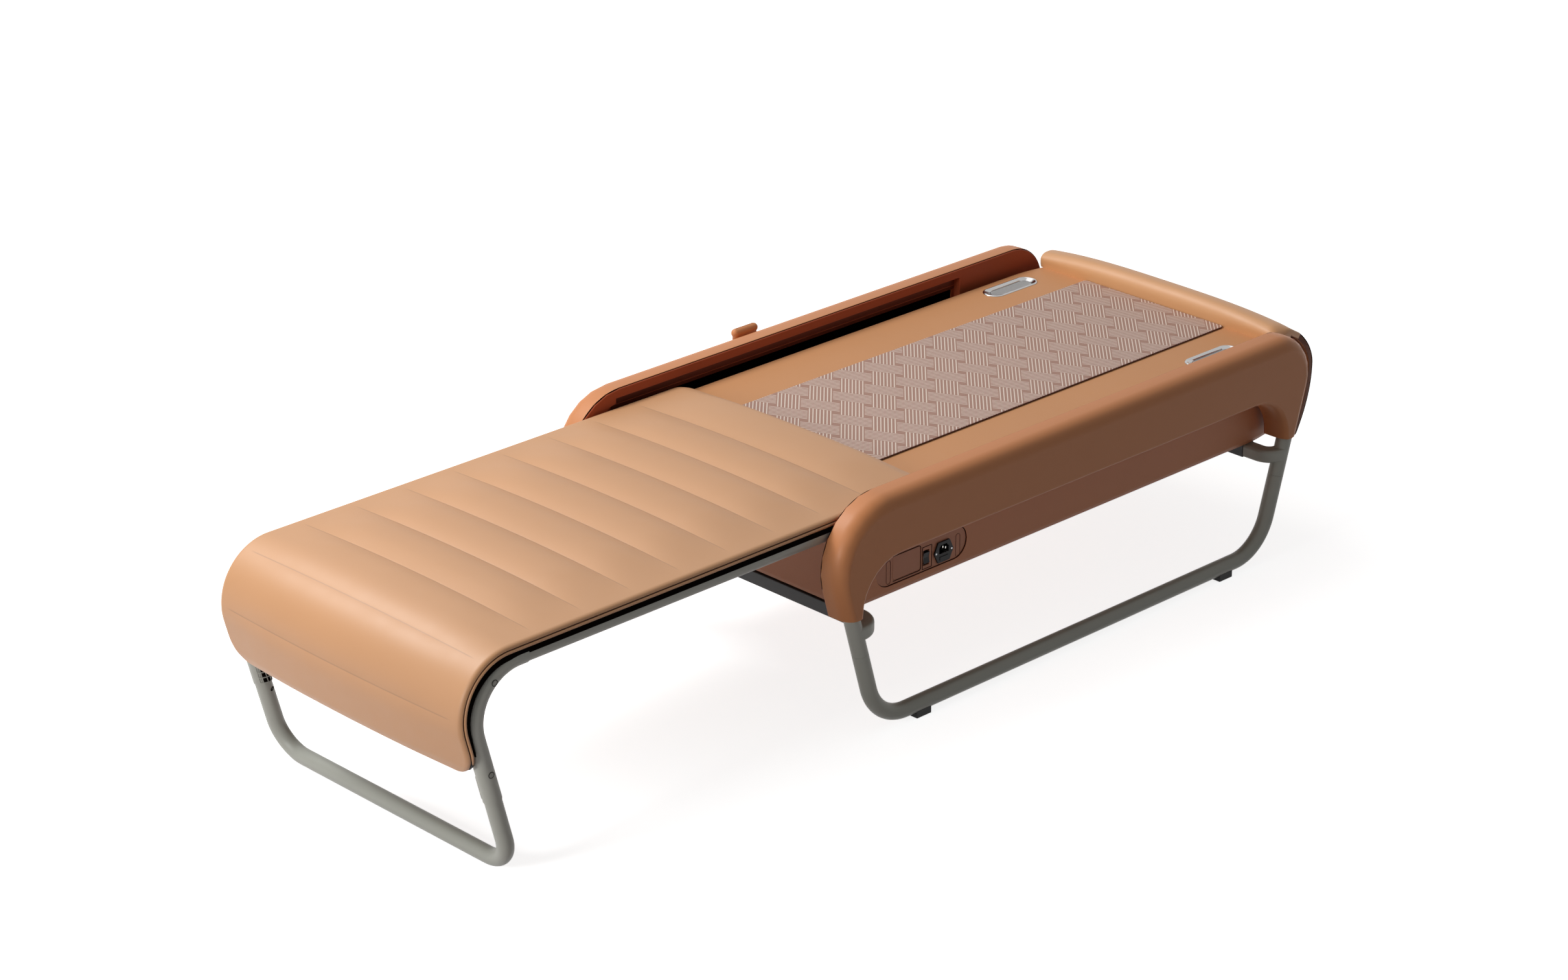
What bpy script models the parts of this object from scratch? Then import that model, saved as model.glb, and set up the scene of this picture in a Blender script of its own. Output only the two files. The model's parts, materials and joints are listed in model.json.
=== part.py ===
"""Thermal massage bed on two tubular leg loops, with a channelled leg mat that slides out.

Everything is modelled in the bed's own frame: X along the bed from foot to head, with zero
at the middle of the side panels, Y across it, and Z up from the floor. The near side is -Y.
An empty then moves the whole bed so that the origin is under the middle of its outer box.
"""

import math

import bmesh
import bpy
from mathutils import Vector

SIDES = {"near": -1, "far": 1}
ENDS = {"foot": -1, "head": 1}

# Gaps and general sizes
GAP = 0.0003
RUNNING_GAP = 0.0006
OVERRUN = 0.004
LEAST_RADIUS = 0.0006
ROUND_END_SHARE = 0.98

# Massage mechanism, hung down from the deck's top
DECK_TOP = 0.405
ROLLER_MAT_GAP = 0.0012
ROLLER_RADIUS = 0.024
ROLLER_HEIGHT = DECK_TOP + GAP - ROLLER_MAT_GAP - ROLLER_RADIUS
ROLLER_OUT = 0.048
ROLLER_HALF_LENGTH = 0.019
ROLLER_BARREL_SHARE = 0.62
ROLLER_STEPS = 16
AXLE_RADIUS = 0.005
AXLE_X = 0.052
LIFT_LENGTH = 0.160
LIFT_SIDE_ROOM = 0.021
LIFT_HALF_WIDTH = ROLLER_OUT + ROLLER_HALF_LENGTH + LIFT_SIDE_ROOM
LIFT_WALL = 0.003
LIFT_ROOM = 0.0068
LIFT_FLOOR = ROLLER_HEIGHT - ROLLER_RADIUS - LIFT_ROOM - LIFT_WALL
LIFT_DROP = 0.040
BUSH_LENGTH = 0.036
BUSH_SIDE = 0.028
ROD_RADIUS = 0.007
ROD_STAND = 0.032
ROD_OUT = LIFT_HALF_WIDTH + ROD_STAND
ROD_HEIGHT = LIFT_FLOOR - GAP - LIFT_DROP - BUSH_SIDE / 2
CARRIAGE_LENGTH = 0.170
CARRIAGE_SIDE = 0.018
CARRIAGE_HALF_WIDTH = ROD_OUT + CARRIAGE_SIDE
CARRIAGE_PLATE = 0.004
GUIDE_RADIUS = 0.006
GUIDE_OUT = 0.020
GUIDE_LENGTH = 0.070
PULLEY_RADIUS = 0.016
PULLEY_WIDTH = 0.014
PULLEY_DROP = 0.024
PULLEY_HEIGHT = ROD_HEIGHT - PULLEY_DROP
PULLEY_STEPS = 16
FLANGE_RISE = 0.003
FLANGE_RADIUS = PULLEY_RADIUS + FLANGE_RISE
FLANGE_WIDTH = 0.0015
SHAFT_RADIUS = 0.004
BELT_THICKNESS = 0.0016
BELT_WIDTH = 0.010
MOTOR_RADIUS = 0.030
MOTOR_LENGTH = 0.062
MOTOR_ROOM = 0.016
MOTOR_Y = 0.014
GEARBOX_LENGTH = 0.030
BRACKET_WIDTH = 0.030
BRACKET_THICKNESS = 0.004
CLAMP_WIDTH = 0.024
CLAMP_LENGTH = 0.040
PAN_THICKNESS = 0.0032

# Body: the track opening and the head pad set where the box begins and ends
TRACK_FOOT = 0.480
TRACK_HALF_WIDTH = 0.150
TRACK_RADIUS = 0.030
FOOT_BORDER = 0.063
BOX_FOOT = TRACK_FOOT + FOOT_BORDER
HEAD_PAD_OUT = 0.741
HEAD_PAD_OVERHANG = 0.094
BOX_HEAD = HEAD_PAD_OUT - HEAD_PAD_OVERHANG
BOX_HALF_WIDTH = 0.312
BOX_BOTTOM = PULLEY_HEIGHT - MOTOR_RADIUS - MOTOR_ROOM
BOX_WALL = 0.003
PAN_TOP = BOX_BOTTOM + BOX_WALL + PAN_THICKNESS + GAP * 2
BOX_EDGE = 0.012
BOX_EDGE_SHARE = 1 / 3
BOX_INNER_SHARE = 0.73
BOX_CORNER = 0.014
BOX_TAPER_LENGTH = 0.095
BOX_TAPER_START = BOX_HEAD - BOX_TAPER_LENGTH
BOX_TAPER_IN = 0.016
BOX_TAPER_RADIUS = 0.260
BOX_HEAD_CORNER = 0.024
BEAM_WIDTH = 0.033
BEAM_HEIGHT = 0.026
BEAM_BOTTOM = BOX_BOTTOM - BEAM_HEIGHT
BEAM_WALL = 0.0025
BEAM_FOOT_IN = 0.020
BEAM_FOOT = BOX_FOOT - BEAM_FOOT_IN
BEAM_HEAD_IN = 0.105
BEAM_HEAD = BOX_HEAD - BEAM_HEAD_IN
BEAM_SIDE_IN = 0.012
BEAM_HALF_LENGTH = BOX_HALF_WIDTH - BEAM_SIDE_IN
DRIVE_IN = 0.062
DRIVE_X = BOX_HEAD - DRIVE_IN
IDLER_IN = 0.043
IDLER_X = IDLER_IN - BOX_FOOT

# Frame tubes of the leg mat and the runners they slide on
TUBE_RADIUS = 0.015
TUBE_BEVEL = 4
TUBE_BELOW_DECK = 0.002
AUX_TUBE_TOP = DECK_TOP - TUBE_BELOW_DECK
AUX_TUBE_HEIGHT = AUX_TUBE_TOP - TUBE_RADIUS
AUX_TUBE_SIDE_IN = 0.010
AUX_TUBE_OUT = BOX_HALF_WIDTH - AUX_TUBE_SIDE_IN
RUNNER_HEIGHT = 0.0105
RUNNER_GAP = 0.0005
RUNNER_INNER_GAP = 0.0025
RUNNER_OUTER_GAP = 0.0008
RUNNER_EDGE = 0.0015
LEDGE_TOP = AUX_TUBE_HEIGHT - TUBE_RADIUS - RUNNER_GAP - RUNNER_HEIGHT
STEP_GAP = 0.002
STEP_HALF_WIDTH = AUX_TUBE_OUT - TUBE_RADIUS - STEP_GAP
RUNNER_IN = STEP_HALF_WIDTH + RUNNER_INNER_GAP
RUNNER_OUT = BOX_HALF_WIDTH - RUNNER_OUTER_GAP

# Deck
DECK_THICKNESS = 0.013
DECK_BOTTOM = DECK_TOP - DECK_THICKNESS
DECK_LIP = 0.0017
DECK_SIDE_IN = 0.0115
DECK_HALF_WIDTH = BOX_HALF_WIDTH - DECK_SIDE_IN
DECK_END_GAP = 0.002
DECK_EDGE = 0.0008

# Inner covers with the runner slot
COVER_GAP = 0.007
COVER_IN = BOX_HALF_WIDTH + COVER_GAP
COVER_THICKNESS = 0.003
COVER_INSET = 0.0015
COVER_EDGE = 0.0012

# Side panels
PANEL_RISE = 0.043
PANEL_TOP = DECK_TOP + PANEL_RISE
PANEL_IN = COVER_IN + COVER_THICKNESS + GAP
PANEL_DEPTH = 0.0507
PANEL_OUT = PANEL_IN + PANEL_DEPTH
PANEL_WALL = 0.0027
PANEL_END_RADIUS = 0.122
PANEL_HEAD_RADIUS = 0.086
PANEL_ROUND = 0.028
PANEL_END_ROUND = 0.020
ARCH_ROUND = 0.012
ROUND_STEPS = 4
CORNER_STEPS = 7
SLEEVE_RISE = 0.019
SLEEVE_BOTTOM = BOX_BOTTOM + SLEEVE_RISE
ARCH_DROP = 0.032
ARCH_TOP = LEDGE_TOP - ARCH_DROP
ARCH_STRAIGHT = 0.003
ARCH_RADIUS = ARCH_TOP - SLEEVE_BOTTOM - ARCH_STRAIGHT

# Leg loops
LOOP_OUT = PANEL_OUT - PANEL_WALL - GAP - TUBE_RADIUS
LEG_LEAN = 0.287
POST_SPAN = 0.57267
RAIL_CLEARANCE = 0.007
RAIL_HEIGHT = RAIL_CLEARANCE + TUBE_RADIUS
RAIL_BEND = 0.095
ELBOW_WIDTH = 0.030
ELBOW_HEIGHT = 0.0257
ELBOW_ROUND = 0.006
ELBOW_BENDS = {"foot": 0.040, "head": 0.026}
ELBOW_BEND_SHARE = 0.85
ELBOW_LEVEL = BEAM_BOTTOM + (ELBOW_HEIGHT + GAP) / 2
RAIL_HALF_SPAN = POST_SPAN - LEG_LEAN * (ELBOW_LEVEL - RAIL_HEIGHT)
LEG_JOINT_DROP = 0.029
LEG_JOINT_HEIGHT = BEAM_BOTTOM - LEG_JOINT_DROP
POST_RISE = 0.078
POST_TOP = BOX_BOTTOM + POST_RISE
BEND_STEPS = 6
PAD_CUP = 0.0085
PAD_HEIGHT = RAIL_CLEARANCE + PAD_CUP
PAD_LENGTH = 0.036
PAD_WIDTH = 0.026
PAD_IN = 0.108

# Sleeves of the side panels, round the leg posts
SLEEVE_POST = RAIL_HALF_SPAN + LEG_LEAN * (SLEEVE_BOTTOM - RAIL_HEIGHT)
SLEEVE_OUTER_ROOM = 0.00765
SLEEVE_OUTER = SLEEVE_POST + TUBE_RADIUS + SLEEVE_OUTER_ROOM
SLEEVE_INNER_ROOM = 0.00435
SLEEVE_INNER = SLEEVE_POST - TUBE_RADIUS - SLEEVE_INNER_ROOM

# Runner slot
SLOT_FOOT_IN = 0.0225
SLOT_FOOT = SLEEVE_INNER - SLOT_FOOT_IN
SLOT_STEP = 0.028
SLOT_STEP_DROP = 0.010
SLOT_HEAD = 0.394
SLOT_RISE = 0.0115
SLOT_BOTTOM = LEDGE_TOP + SLOT_RISE
SLOT_TOP_DROP = 0.018
SLOT_TOP = PANEL_TOP - SLOT_TOP_DROP
SLOT_FOOT_RADIUS = 0.0252
SLOT_RADIUS = 0.003
TRAY_DEPTH = 0.014
TRAY_WALL = 0.002
TRAY_STEP = 0.009

# Head pad
HEAD_PAD_LENGTH = 0.1355
HEAD_PAD_FRONT = HEAD_PAD_OUT - HEAD_PAD_LENGTH
HEAD_PAD_SIDE_IN = 0.025
HEAD_PAD_HALF = BOX_HALF_WIDTH - HEAD_PAD_SIDE_IN
HEAD_PAD_SKIN = 0.011
HEAD_PAD_RISE = 0.029
HEAD_PAD_DROP = 0.2143
HEAD_PAD_CROWN = 0.014
HEAD_PAD_END_ROUND = 0.006
# along the pad's length, up its rise, down its drop, and how much of the crown is added
HEAD_PAD_LINE_SHARES = (
    (0, 0, 0, 0),
    (0, 0.5517, 0, 0.35),
    (0.0443, 0.8448, 0, 0.8),
    (0.1328, 1, 0, 1),
    (0.2952, 0.9138, 0, 1),
    (0.4686, 0.3793, 0, 0.9),
    (0.6753, 0, 0.028, 0.75),
    (0.8598, 0, 0.1447, 0.5),
    (0.9705, 0, 0.2706, 0.25),
    (1, 0, 0.3873, 0),
    (0.9705, 0, 0.5833, 0),
    (0.8745, 0, 0.7933, 0),
    (0.7269, 0, 0.986, 0),
    (0.6827, 0, 1, 0),
)
HEAD_PAD_HALF_SHARES = (0, 0.35, 0.65, 0.85, 0.97, 1)
HEAD_PAD_TUCK_SHARE = 0.5
HEAD_PAD_LOWERED_SHARE = 0.4
HEAD_TIP_IN = 0.041
HEAD_TIP_X = HEAD_PAD_OUT - HEAD_TIP_IN
HEAD_TIP_Z = DECK_TOP + GAP - HEAD_PAD_DROP
BACKING_SIDE_IN = 0.004
BACKING_HALF = HEAD_PAD_HALF - BACKING_SIDE_IN
BACKING_WALL = 0.004
BACKING_SHARE = 0.259
BACKING_DROP = 0.040
BACKING_SEAT_RISE = 0.093
BACKING_SEAT_LOW = BOX_BOTTOM + BACKING_SEAT_RISE
BACKING_SEAT_OVER = 0.008
BACKING_SEAT_HIGH = DECK_BOTTOM + BACKING_SEAT_OVER

# Top mat
MAT_BORDER = 0.027
MAT_HALF_WIDTH = TRACK_HALF_WIDTH + MAT_BORDER
MAT_THICKNESS = 0.0034
MAT_FOOT_BORDER = 0.015
MAT_FOOT = TRACK_FOOT + MAT_FOOT_BORDER
MAT_HEAD_GAP = 0.003
MAT_HEAD = HEAD_PAD_FRONT - MAT_HEAD_GAP
TRACK_HEAD_BORDER = 0.0425
TRACK_HEAD = MAT_HEAD - TRACK_HEAD_BORDER
MAT_RADIUS = 0.030
MAT_EDGE = 0.0012

# Speakers
SPEAKER_HEAD_IN = 0.169
SPEAKER_X = BOX_HEAD - SPEAKER_HEAD_IN
SPEAKER_SIDE_IN = 0.053
SPEAKER_Y = BOX_HALF_WIDTH - SPEAKER_SIDE_IN
SPEAKER_LENGTH = 0.126
SPEAKER_WIDTH = 0.048
SPEAKER_RIM = 0.009
SPEAKER_PROUD = 0.002
SPEAKER_DEPTH = 0.016
GRILLE_THICKNESS = 0.0015
GRILLE_DROP = 0.006
GRILLE_HOLE = 0.0036
GRILLE_COLUMNS = 9
GRILLE_ROWS = 2
GRILLE_PITCH = 0.0105

# Power plate on the near side
PLATE_IN = 0.1785
PLATE_X = PLATE_IN - BOX_FOOT
PLATE_LENGTH = 0.229
PLATE_RISE = 0.021
PLATE_LOW = BOX_BOTTOM + PLATE_RISE
PLATE_HEIGHT = 0.064
PLATE_RECESS = 0.002
PLATE_THICKNESS = 0.006
PLATE_FRONT = PLATE_RECESS - BOX_HALF_WIDTH
PLATE_BACK = PLATE_FRONT + PLATE_THICKNESS
SERVICE_FROM_MIDDLE = 0.071
SERVICE_LOW_X = PLATE_X - SERVICE_FROM_MIDDLE
SERVICE_LENGTH = 0.069
SERVICE_RISE = 0.006
SERVICE_LOW = PLATE_LOW + SERVICE_RISE
SERVICE_HEIGHT = 0.048
SERVICE_RADIUS = 0.006
SERVICE_DEPTH = 0.0025
CONTROLS_RISE = 0.0245
ROCKER_WIDTH = 0.015
ROCKER_GAP = 0.0075
ROCKER_X = SERVICE_LOW_X + SERVICE_LENGTH + ROCKER_GAP + ROCKER_WIDTH / 2
ROCKER_Z = PLATE_LOW + CONTROLS_RISE
ROCKER_HEIGHT = 0.029
ROCKER_DEPTH = 0.011
ROCKER_BACK_SHARE = 0.7
ROCKER_BEZEL = 0.004
ROCKER_AXIS_Y = PLATE_FRONT + PLATE_THICKNESS / 2
INLET_LENGTH = 0.048
INLET_GAP = 0.0105
INLET_X = ROCKER_X + ROCKER_WIDTH / 2 + INLET_GAP + INLET_LENGTH / 2
INLET_Z = ROCKER_Z
INLET_FLAT = 0.029
INLET_HEIGHT = 0.039
INLET_FLANGE = 0.003
INLET_BODY_LENGTH = 0.031
INLET_BODY_HEIGHT = 0.034
INLET_BODY_DEPTH = 0.024
SOCKET_WIDTH = 0.024
SOCKET_HEIGHT = 0.0165
SOCKET_LIFT = 0.0055
SOCKET_DEPTH = 0.016
SOCKET_CORNER = 0.005
PIN_WIDTH = 0.002
PIN_HEIGHT = 0.004
PIN_LENGTH = 0.013
PIN_SPACING = 0.007
PIN_RISE = 0.002
FUSE_WIDTH = 0.022
FUSE_HEIGHT = 0.007
FUSE_DROP = 0.0115
FUSE_DEPTH = 0.018
FUSE_PROUD = 0.001

# Power supply and control board on the base pan
SUPPLY_SIZE = (0.160, 0.085, 0.038)
SUPPLY_FROM_PLATE = 0.0145
SUPPLY_SIDE_IN = 0.107
SUPPLY_PLACE = (PLATE_X + SUPPLY_FROM_PLATE, SUPPLY_SIDE_IN - BOX_HALF_WIDTH)
BOARD_SIZE = (0.150, 0.100, 0.0016)
BOARD_FROM_SUPPLY = 0.190
BOARD_PLACE = (SUPPLY_PLACE[0] + BOARD_FROM_SUPPLY, SUPPLY_PLACE[1])
STANDOFF_RADIUS = 0.004
STANDOFF_HEIGHT = 0.010
CHIP_SIZE = (0.030, 0.030, 0.012)

# Remote control holder
HOLDER_X = -0.1335
HOLDER_LENGTH = 0.065
HOLDER_DEPTH = 0.0125
HOLDER_OVER = 0.004
HOLDER_TOP = PANEL_TOP + HOLDER_OVER
HOLDER_HEIGHT = 0.115
HOLDER_WALL = 0.002
HOLDER_FLOOR = 0.003

# Leg mat frame
AUX_BAR_OUT = 1.3065
AUX_LEAN = 0.264
AUX_BEND = 0.093
AUX_SLEEVE_WALL = 0.00125
AUX_SLEEVE_RADIUS = TUBE_RADIUS + AUX_SLEEVE_WALL
AUX_SLEEVE_IN = 0.0375
AUX_SLEEVE_START = AUX_BAR_OUT - AUX_SLEEVE_IN
AUX_JOINT_HEIGHT = 0.153
AUX_BAR_BEND = 0.060
AUX_HEAD = 0.349
AUX_TUBE_HEAD_IN = 0.012
BLOCK_LENGTH = 0.062
BLOCK_WALL = 0.0005
BLOCK_IN = AUX_TUBE_OUT - TUBE_RADIUS - BLOCK_WALL
BLOCK_TONGUE = 0.0095
BLOCK_OUT = COVER_IN + BLOCK_TONGUE
BLOCK_TOP = AUX_TUBE_TOP - BLOCK_WALL * 3
BLOCK_NECK_GAP = 0.0025
BLOCK_NECK_LOW = SLOT_BOTTOM + BLOCK_NECK_GAP
CLIP_LENGTH = 0.034
CLIP_WIDTH = 0.026
CLIP_DEPTH = 0.012
CLIP_RISE = 0.004
CLIP_LOW = AUX_JOINT_HEIGHT + CLIP_RISE
CLIP_WALL = 0.002
CLIP_COLUMNS = 2
CLIP_ROWS = 3

# Leg mat pad and board, along the line of the piping
MAT_LINE_OVER = 0.0015
MAT_LINE_HEIGHT = AUX_TUBE_TOP + MAT_LINE_OVER
MAT_LINE_STAND_OFF = 0.00445
MAT_LINE_STAND = AUX_SLEEVE_RADIUS + MAT_LINE_STAND_OFF
MAT_LINE_BEND_OVER = 0.0008
MAT_LINE_BEND = AUX_BEND + MAT_LINE_BEND_OVER
MAT_LINE_DROP = 0.1955
MAT_LINE_END = MAT_LINE_HEIGHT - MAT_LINE_DROP
BOARD_SIDE_OUT = 0.0095
BOARD_HALF = AUX_TUBE_OUT + BOARD_SIDE_OUT
BOARD_SADDLE_GAP = 0.0007
BOARD_SADDLE_IN = DECK_HALF_WIDTH + BOARD_SADDLE_GAP
BOARD_RAISE_BORDER = 0.0045
BOARD_RAISE_HALF = MAT_HALF_WIDTH + BOARD_RAISE_BORDER
BOARD_SADDLE_LEVEL = 0.0001
BOARD_LEVEL = 0.0011
BOARD_THICKNESS = 0.0031
BOARD_RAISE = 0.0036
BOARD_TOP_RAISE_SHARE = 0.7
PAD_SIDE_OUT = 0.0025
PAD_HALF = BOARD_HALF + PAD_SIDE_OUT
PAD_EDGE_HEIGHT = 0.0115
PAD_CROWN = 0.01031
PAD_PUFF = 0.0045
PAD_CORNER = 0.028
PAD_FIRST_SEAM = 0.134
PAD_SEAM_PITCH = 0.1091
PAD_SIDE_SHARES = (1.0, 0.988, 0.93, 0.76, 0.42)
PAD_SIDE_HEIGHT_SHARES = (0.42, 0.86, 1.0, 1.0, 1.0)
PAD_STATION_SHARES = (0.0, 0.13, 0.5, 0.87)
PAD_END_HEIGHT_SHARE = 0.45
PAD_PUFF_FADE_SHARE = 0.125
PAD_UNDER_SHARE = 0.985
PAD_RAISE_SHARE = 0.9
SEAM_PAST_END_SHARE = 0.1
END_STATION_SHARES = (0.15, 0.5, 1.0)
MAT_ARC_STATIONS = 9
MAT_ARC_STEPS = 5
STATION_MERGE = 0.004
BOARD_MARGIN = 0.008
BOARD_CORNER = 0.026
SADDLE_START_SHARE = 1.3
PIPING_RADIUS = 0.0024
PIPING_OUT = BOARD_HALF + GAP + PIPING_RADIUS
PIPING_LEVEL = 0.0004
PIPING_CORNER = 0.0275

COLOURS = {
    "tan_leather": ((0.60, 0.285, 0.125), 0.5, 0.0),
    "brown_shell": ((0.155, 0.05, 0.028), 0.55, 0.0),
    "tan_shell": ((0.56, 0.262, 0.118), 0.48, 0.0),
    "dark_cover": ((0.13, 0.03, 0.014), 0.55, 0.0),
    "woven_top": ((0.52, 0.35, 0.27), 0.75, 0.0),
    "warm_grey_paint": ((0.34, 0.325, 0.29), 0.42, 0.15),
    "black_plastic": ((0.02, 0.02, 0.02), 0.5, 0.0),
    "black_rubber": ((0.015, 0.015, 0.015), 0.85, 0.0),
    "beam_paint": ((0.04, 0.04, 0.041), 0.6, 0.0),
    "chrome": ((0.78, 0.79, 0.81), 0.12, 1.0),
    "steel": ((0.45, 0.45, 0.46), 0.3, 1.0),
    "roller_stone": ((0.20, 0.33, 0.24), 0.25, 0.0),
    "board_green": ((0.02, 0.16, 0.07), 0.5, 0.0),
}


def material(name):
    """The Principled material of this name, made once."""
    found = bpy.data.materials.get(name)
    if found:
        return found
    colour, roughness, metallic = COLOURS[name]
    made = bpy.data.materials.new(name)
    made.use_nodes = True
    shader = made.node_tree.nodes["Principled BSDF"]
    shader.inputs["Base Color"].default_value = (*colour, 1)
    shader.inputs["Roughness"].default_value = roughness
    shader.inputs["Metallic"].default_value = metallic
    return made


def collection(name):
    """The collection of this name, made once under the scene."""
    found = bpy.data.collections.get(name)
    if not found:
        found = bpy.data.collections.new(name)
        bpy.context.scene.collection.children.link(found)
    return found


def add(name, data, look, where="thermal_massage_bed"):
    """A new object holding this mesh or curve, in its collection."""
    made = bpy.data.objects.new(name, data)
    collection(where).objects.link(made)
    if look:
        data.materials.append(material(look))
    return made


def shade(obj, degrees=35):
    """Smooth faces with sharp edges past the given angle."""
    obj.data.shade_smooth()
    obj.data.set_sharp_from_angle(angle=math.radians(degrees))
    return obj


def mesh_object(name, bm, look):
    """The object of this bmesh, which is freed."""
    bmesh.ops.recalc_face_normals(bm, faces=bm.faces)
    data = bpy.data.meshes.new(name)
    bm.to_mesh(data)
    bm.free()
    return shade(add(name, data, look))


def as_mesh(obj, weld=0.00002):
    """Turns a curve object into a mesh object of the same name, with its caps welded."""
    bpy.context.view_layer.update()
    graph = bpy.context.evaluated_depsgraph_get()
    data = bpy.data.meshes.new_from_object(obj.evaluated_get(graph))
    bm = bmesh.new()
    bm.from_mesh(data)
    bmesh.ops.remove_doubles(bm, verts=bm.verts, dist=weld)
    bmesh.ops.recalc_face_normals(bm, faces=bm.faces)
    bm.to_mesh(data)
    bm.free()
    name, place, where = obj.name, obj.matrix_world.copy(), obj.users_collection[0]
    bpy.data.objects.remove(obj)
    made = bpy.data.objects.new(name, data)
    where.objects.link(made)
    made.matrix_world = place
    return shade(made)


def combine(obj, other, operation):
    """Joins the other object to this one, or cuts it out, and hides it as a helper."""
    for owner in list(other.users_collection):
        owner.objects.unlink(other)
    collection("cutters").objects.link(other)
    other.hide_render = True
    other.display_type = "WIRE"
    step = obj.modifiers.new(other.name, "BOOLEAN")
    step.operation = operation
    step.object = other
    return obj


def cut(obj, *others):
    for other in others:
        combine(obj, other, "DIFFERENCE")
    return obj


def join(obj, *others):
    for other in others:
        combine(obj, other, "UNION")
    return obj


def round_corner(before, corner, after, radius, steps):
    """Points of the arc that rounds a corner, in two or three dimensions."""
    to_before = (before - corner).normalized()
    to_after = (after - corner).normalized()
    half = to_before.angle(to_after) / 2
    reach = radius / math.tan(half)
    centre = corner + (to_before + to_after).normalized() * (radius / math.sin(half))
    start = corner + to_before * reach - centre
    end = corner + to_after * reach - centre
    turn = math.pi - 2 * half
    points = []
    for step in range(steps + 1):
        share = step / steps
        mix = start * math.sin((1 - share) * turn) + end * math.sin(share * turn)
        points.append(centre + mix / math.sin(turn))
    return points


def outline(corners, steps=CORNER_STEPS):
    """A closed outline from corners (u, v, radius)."""
    points = []
    for index, (u, v, radius) in enumerate(corners):
        corner = Vector((u, v))
        if radius <= 0:
            points.append(corner)
            continue
        before = Vector(corners[index - 1][:2])
        after = Vector(corners[(index + 1) % len(corners)][:2])
        points += round_corner(before, corner, after, radius, steps)
    return points


def bent_path(corners, steps=BEND_STEPS):
    """An open path through corners (point, radius), rounded at all but its ends."""
    points = [corners[0][0]]
    for index in range(1, len(corners) - 1):
        before, (corner, radius), after = corners[index - 1][0], corners[index], corners[index + 1][0]
        points += round_corner(before, corner, after, radius, steps)
    return points + [corners[-1][0]]


def inset_corners(corners, insets):
    """Moves each edge of an anticlockwise outline inwards by its own inset, round corners with it."""
    count = len(corners)
    spots = [Vector(corner[:2]) for corner in corners]
    edges = []
    for index in range(count):
        along = (spots[(index + 1) % count] - spots[index]).normalized()
        inward = Vector((-along.y, along.x))
        edges.append((spots[index] + inward * insets[index], along))
    moved = []
    for index in range(count):
        (point_a, along_a), (point_b, along_b) = edges[index - 1], edges[index]
        cross = along_a.x * along_b.y - along_a.y * along_b.x
        offset = point_b - point_a
        reach = (offset.x * along_b.y - offset.y * along_b.x) / cross
        place = point_a + along_a * reach
        change = (insets[index - 1] + insets[index]) / 2
        radius = corners[index][2]
        if radius > 0:
            radius = max(radius - math.copysign(1, cross) * change, LEAST_RADIUS)
        moved.append((place.x, place.y, radius))
    return moved


def lay(points, axis, height):
    """Two-dimensional points laid in the plane across this axis, at this height."""
    if axis == "X":
        return [Vector((height, u, v)) for u, v in points]
    if axis == "Y":
        return [Vector((u, height, v)) for u, v in points]
    return [Vector((u, v, height)) for u, v in points]


def loft(name, rings, look, closed=False):
    """A skin through rings of equally many points, capped at both ends or closed on itself."""
    bm = bmesh.new()
    rows = [[bm.verts.new(point) for point in ring] for ring in rings]
    count = len(rows[0])
    pairs = list(zip(rows, rows[1:]))
    if closed:
        pairs.append((rows[-1], rows[0]))
    for lower, upper in pairs:
        for index in range(count):
            after = (index + 1) % count
            bm.faces.new((lower[index], lower[after], upper[after], upper[index]))
    if not closed:
        bm.faces.new(rows[0])
        bm.faces.new(rows[-1])
    return mesh_object(name, bm, look)


def prism(name, corners, axis, low, high, look, steps=CORNER_STEPS):
    """A rounded outline drawn out along an axis."""
    points = outline(corners, steps)
    return loft(name, [lay(points, axis, low), lay(points, axis, high)], look)


def rectangle(low_u, high_u, low_v, high_v, radius):
    return [
        (low_u, low_v, radius),
        (high_u, low_v, radius),
        (high_u, high_v, radius),
        (low_u, high_v, radius),
    ]


def block(name, low, high, look, edge=0):
    """A box between two corners, with rounded edges where an edge radius is given."""
    bm = bmesh.new()
    bmesh.ops.create_cube(bm, size=1)
    for vertex in bm.verts:
        for axis in range(3):
            middle, span = (low[axis] + high[axis]) / 2, high[axis] - low[axis]
            vertex.co[axis] = middle + vertex.co[axis] * span
    made = mesh_object(name, bm, look)
    if edge:
        bevel = made.modifiers.new("rounded edges", "BEVEL")
        bevel.width = edge
        bevel.segments = 2
    return made


def rod(name, start, end, radius, look, sides=16):
    """A cylinder from one point to another."""
    bm = bmesh.new()
    along = end - start
    bmesh.ops.create_cone(
        bm, cap_ends=True, segments=sides, radius1=radius, radius2=radius, depth=along.length
    )
    turn = Vector((0, 0, 1)).rotation_difference(along).to_matrix()
    bmesh.ops.rotate(bm, verts=bm.verts, cent=Vector(), matrix=turn)
    bmesh.ops.translate(bm, verts=bm.verts, vec=(start + end) / 2)
    return mesh_object(name, bm, look)


def tube(name, points, radius, look, bevel=TUBE_BEVEL):
    """A round tube or bar along a path, as a curve with filled caps."""
    data = bpy.data.curves.new(name, "CURVE")
    data.dimensions = "3D"
    data.bevel_depth = radius
    data.bevel_resolution = bevel
    data.use_fill_caps = True
    spline = data.splines.new("POLY")
    spline.points.add(len(points) - 1)
    for spot, point in zip(spline.points, points):
        spot.co = (*point, 1)
        spot.radius = 1
    return add(name, data, look)


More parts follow.
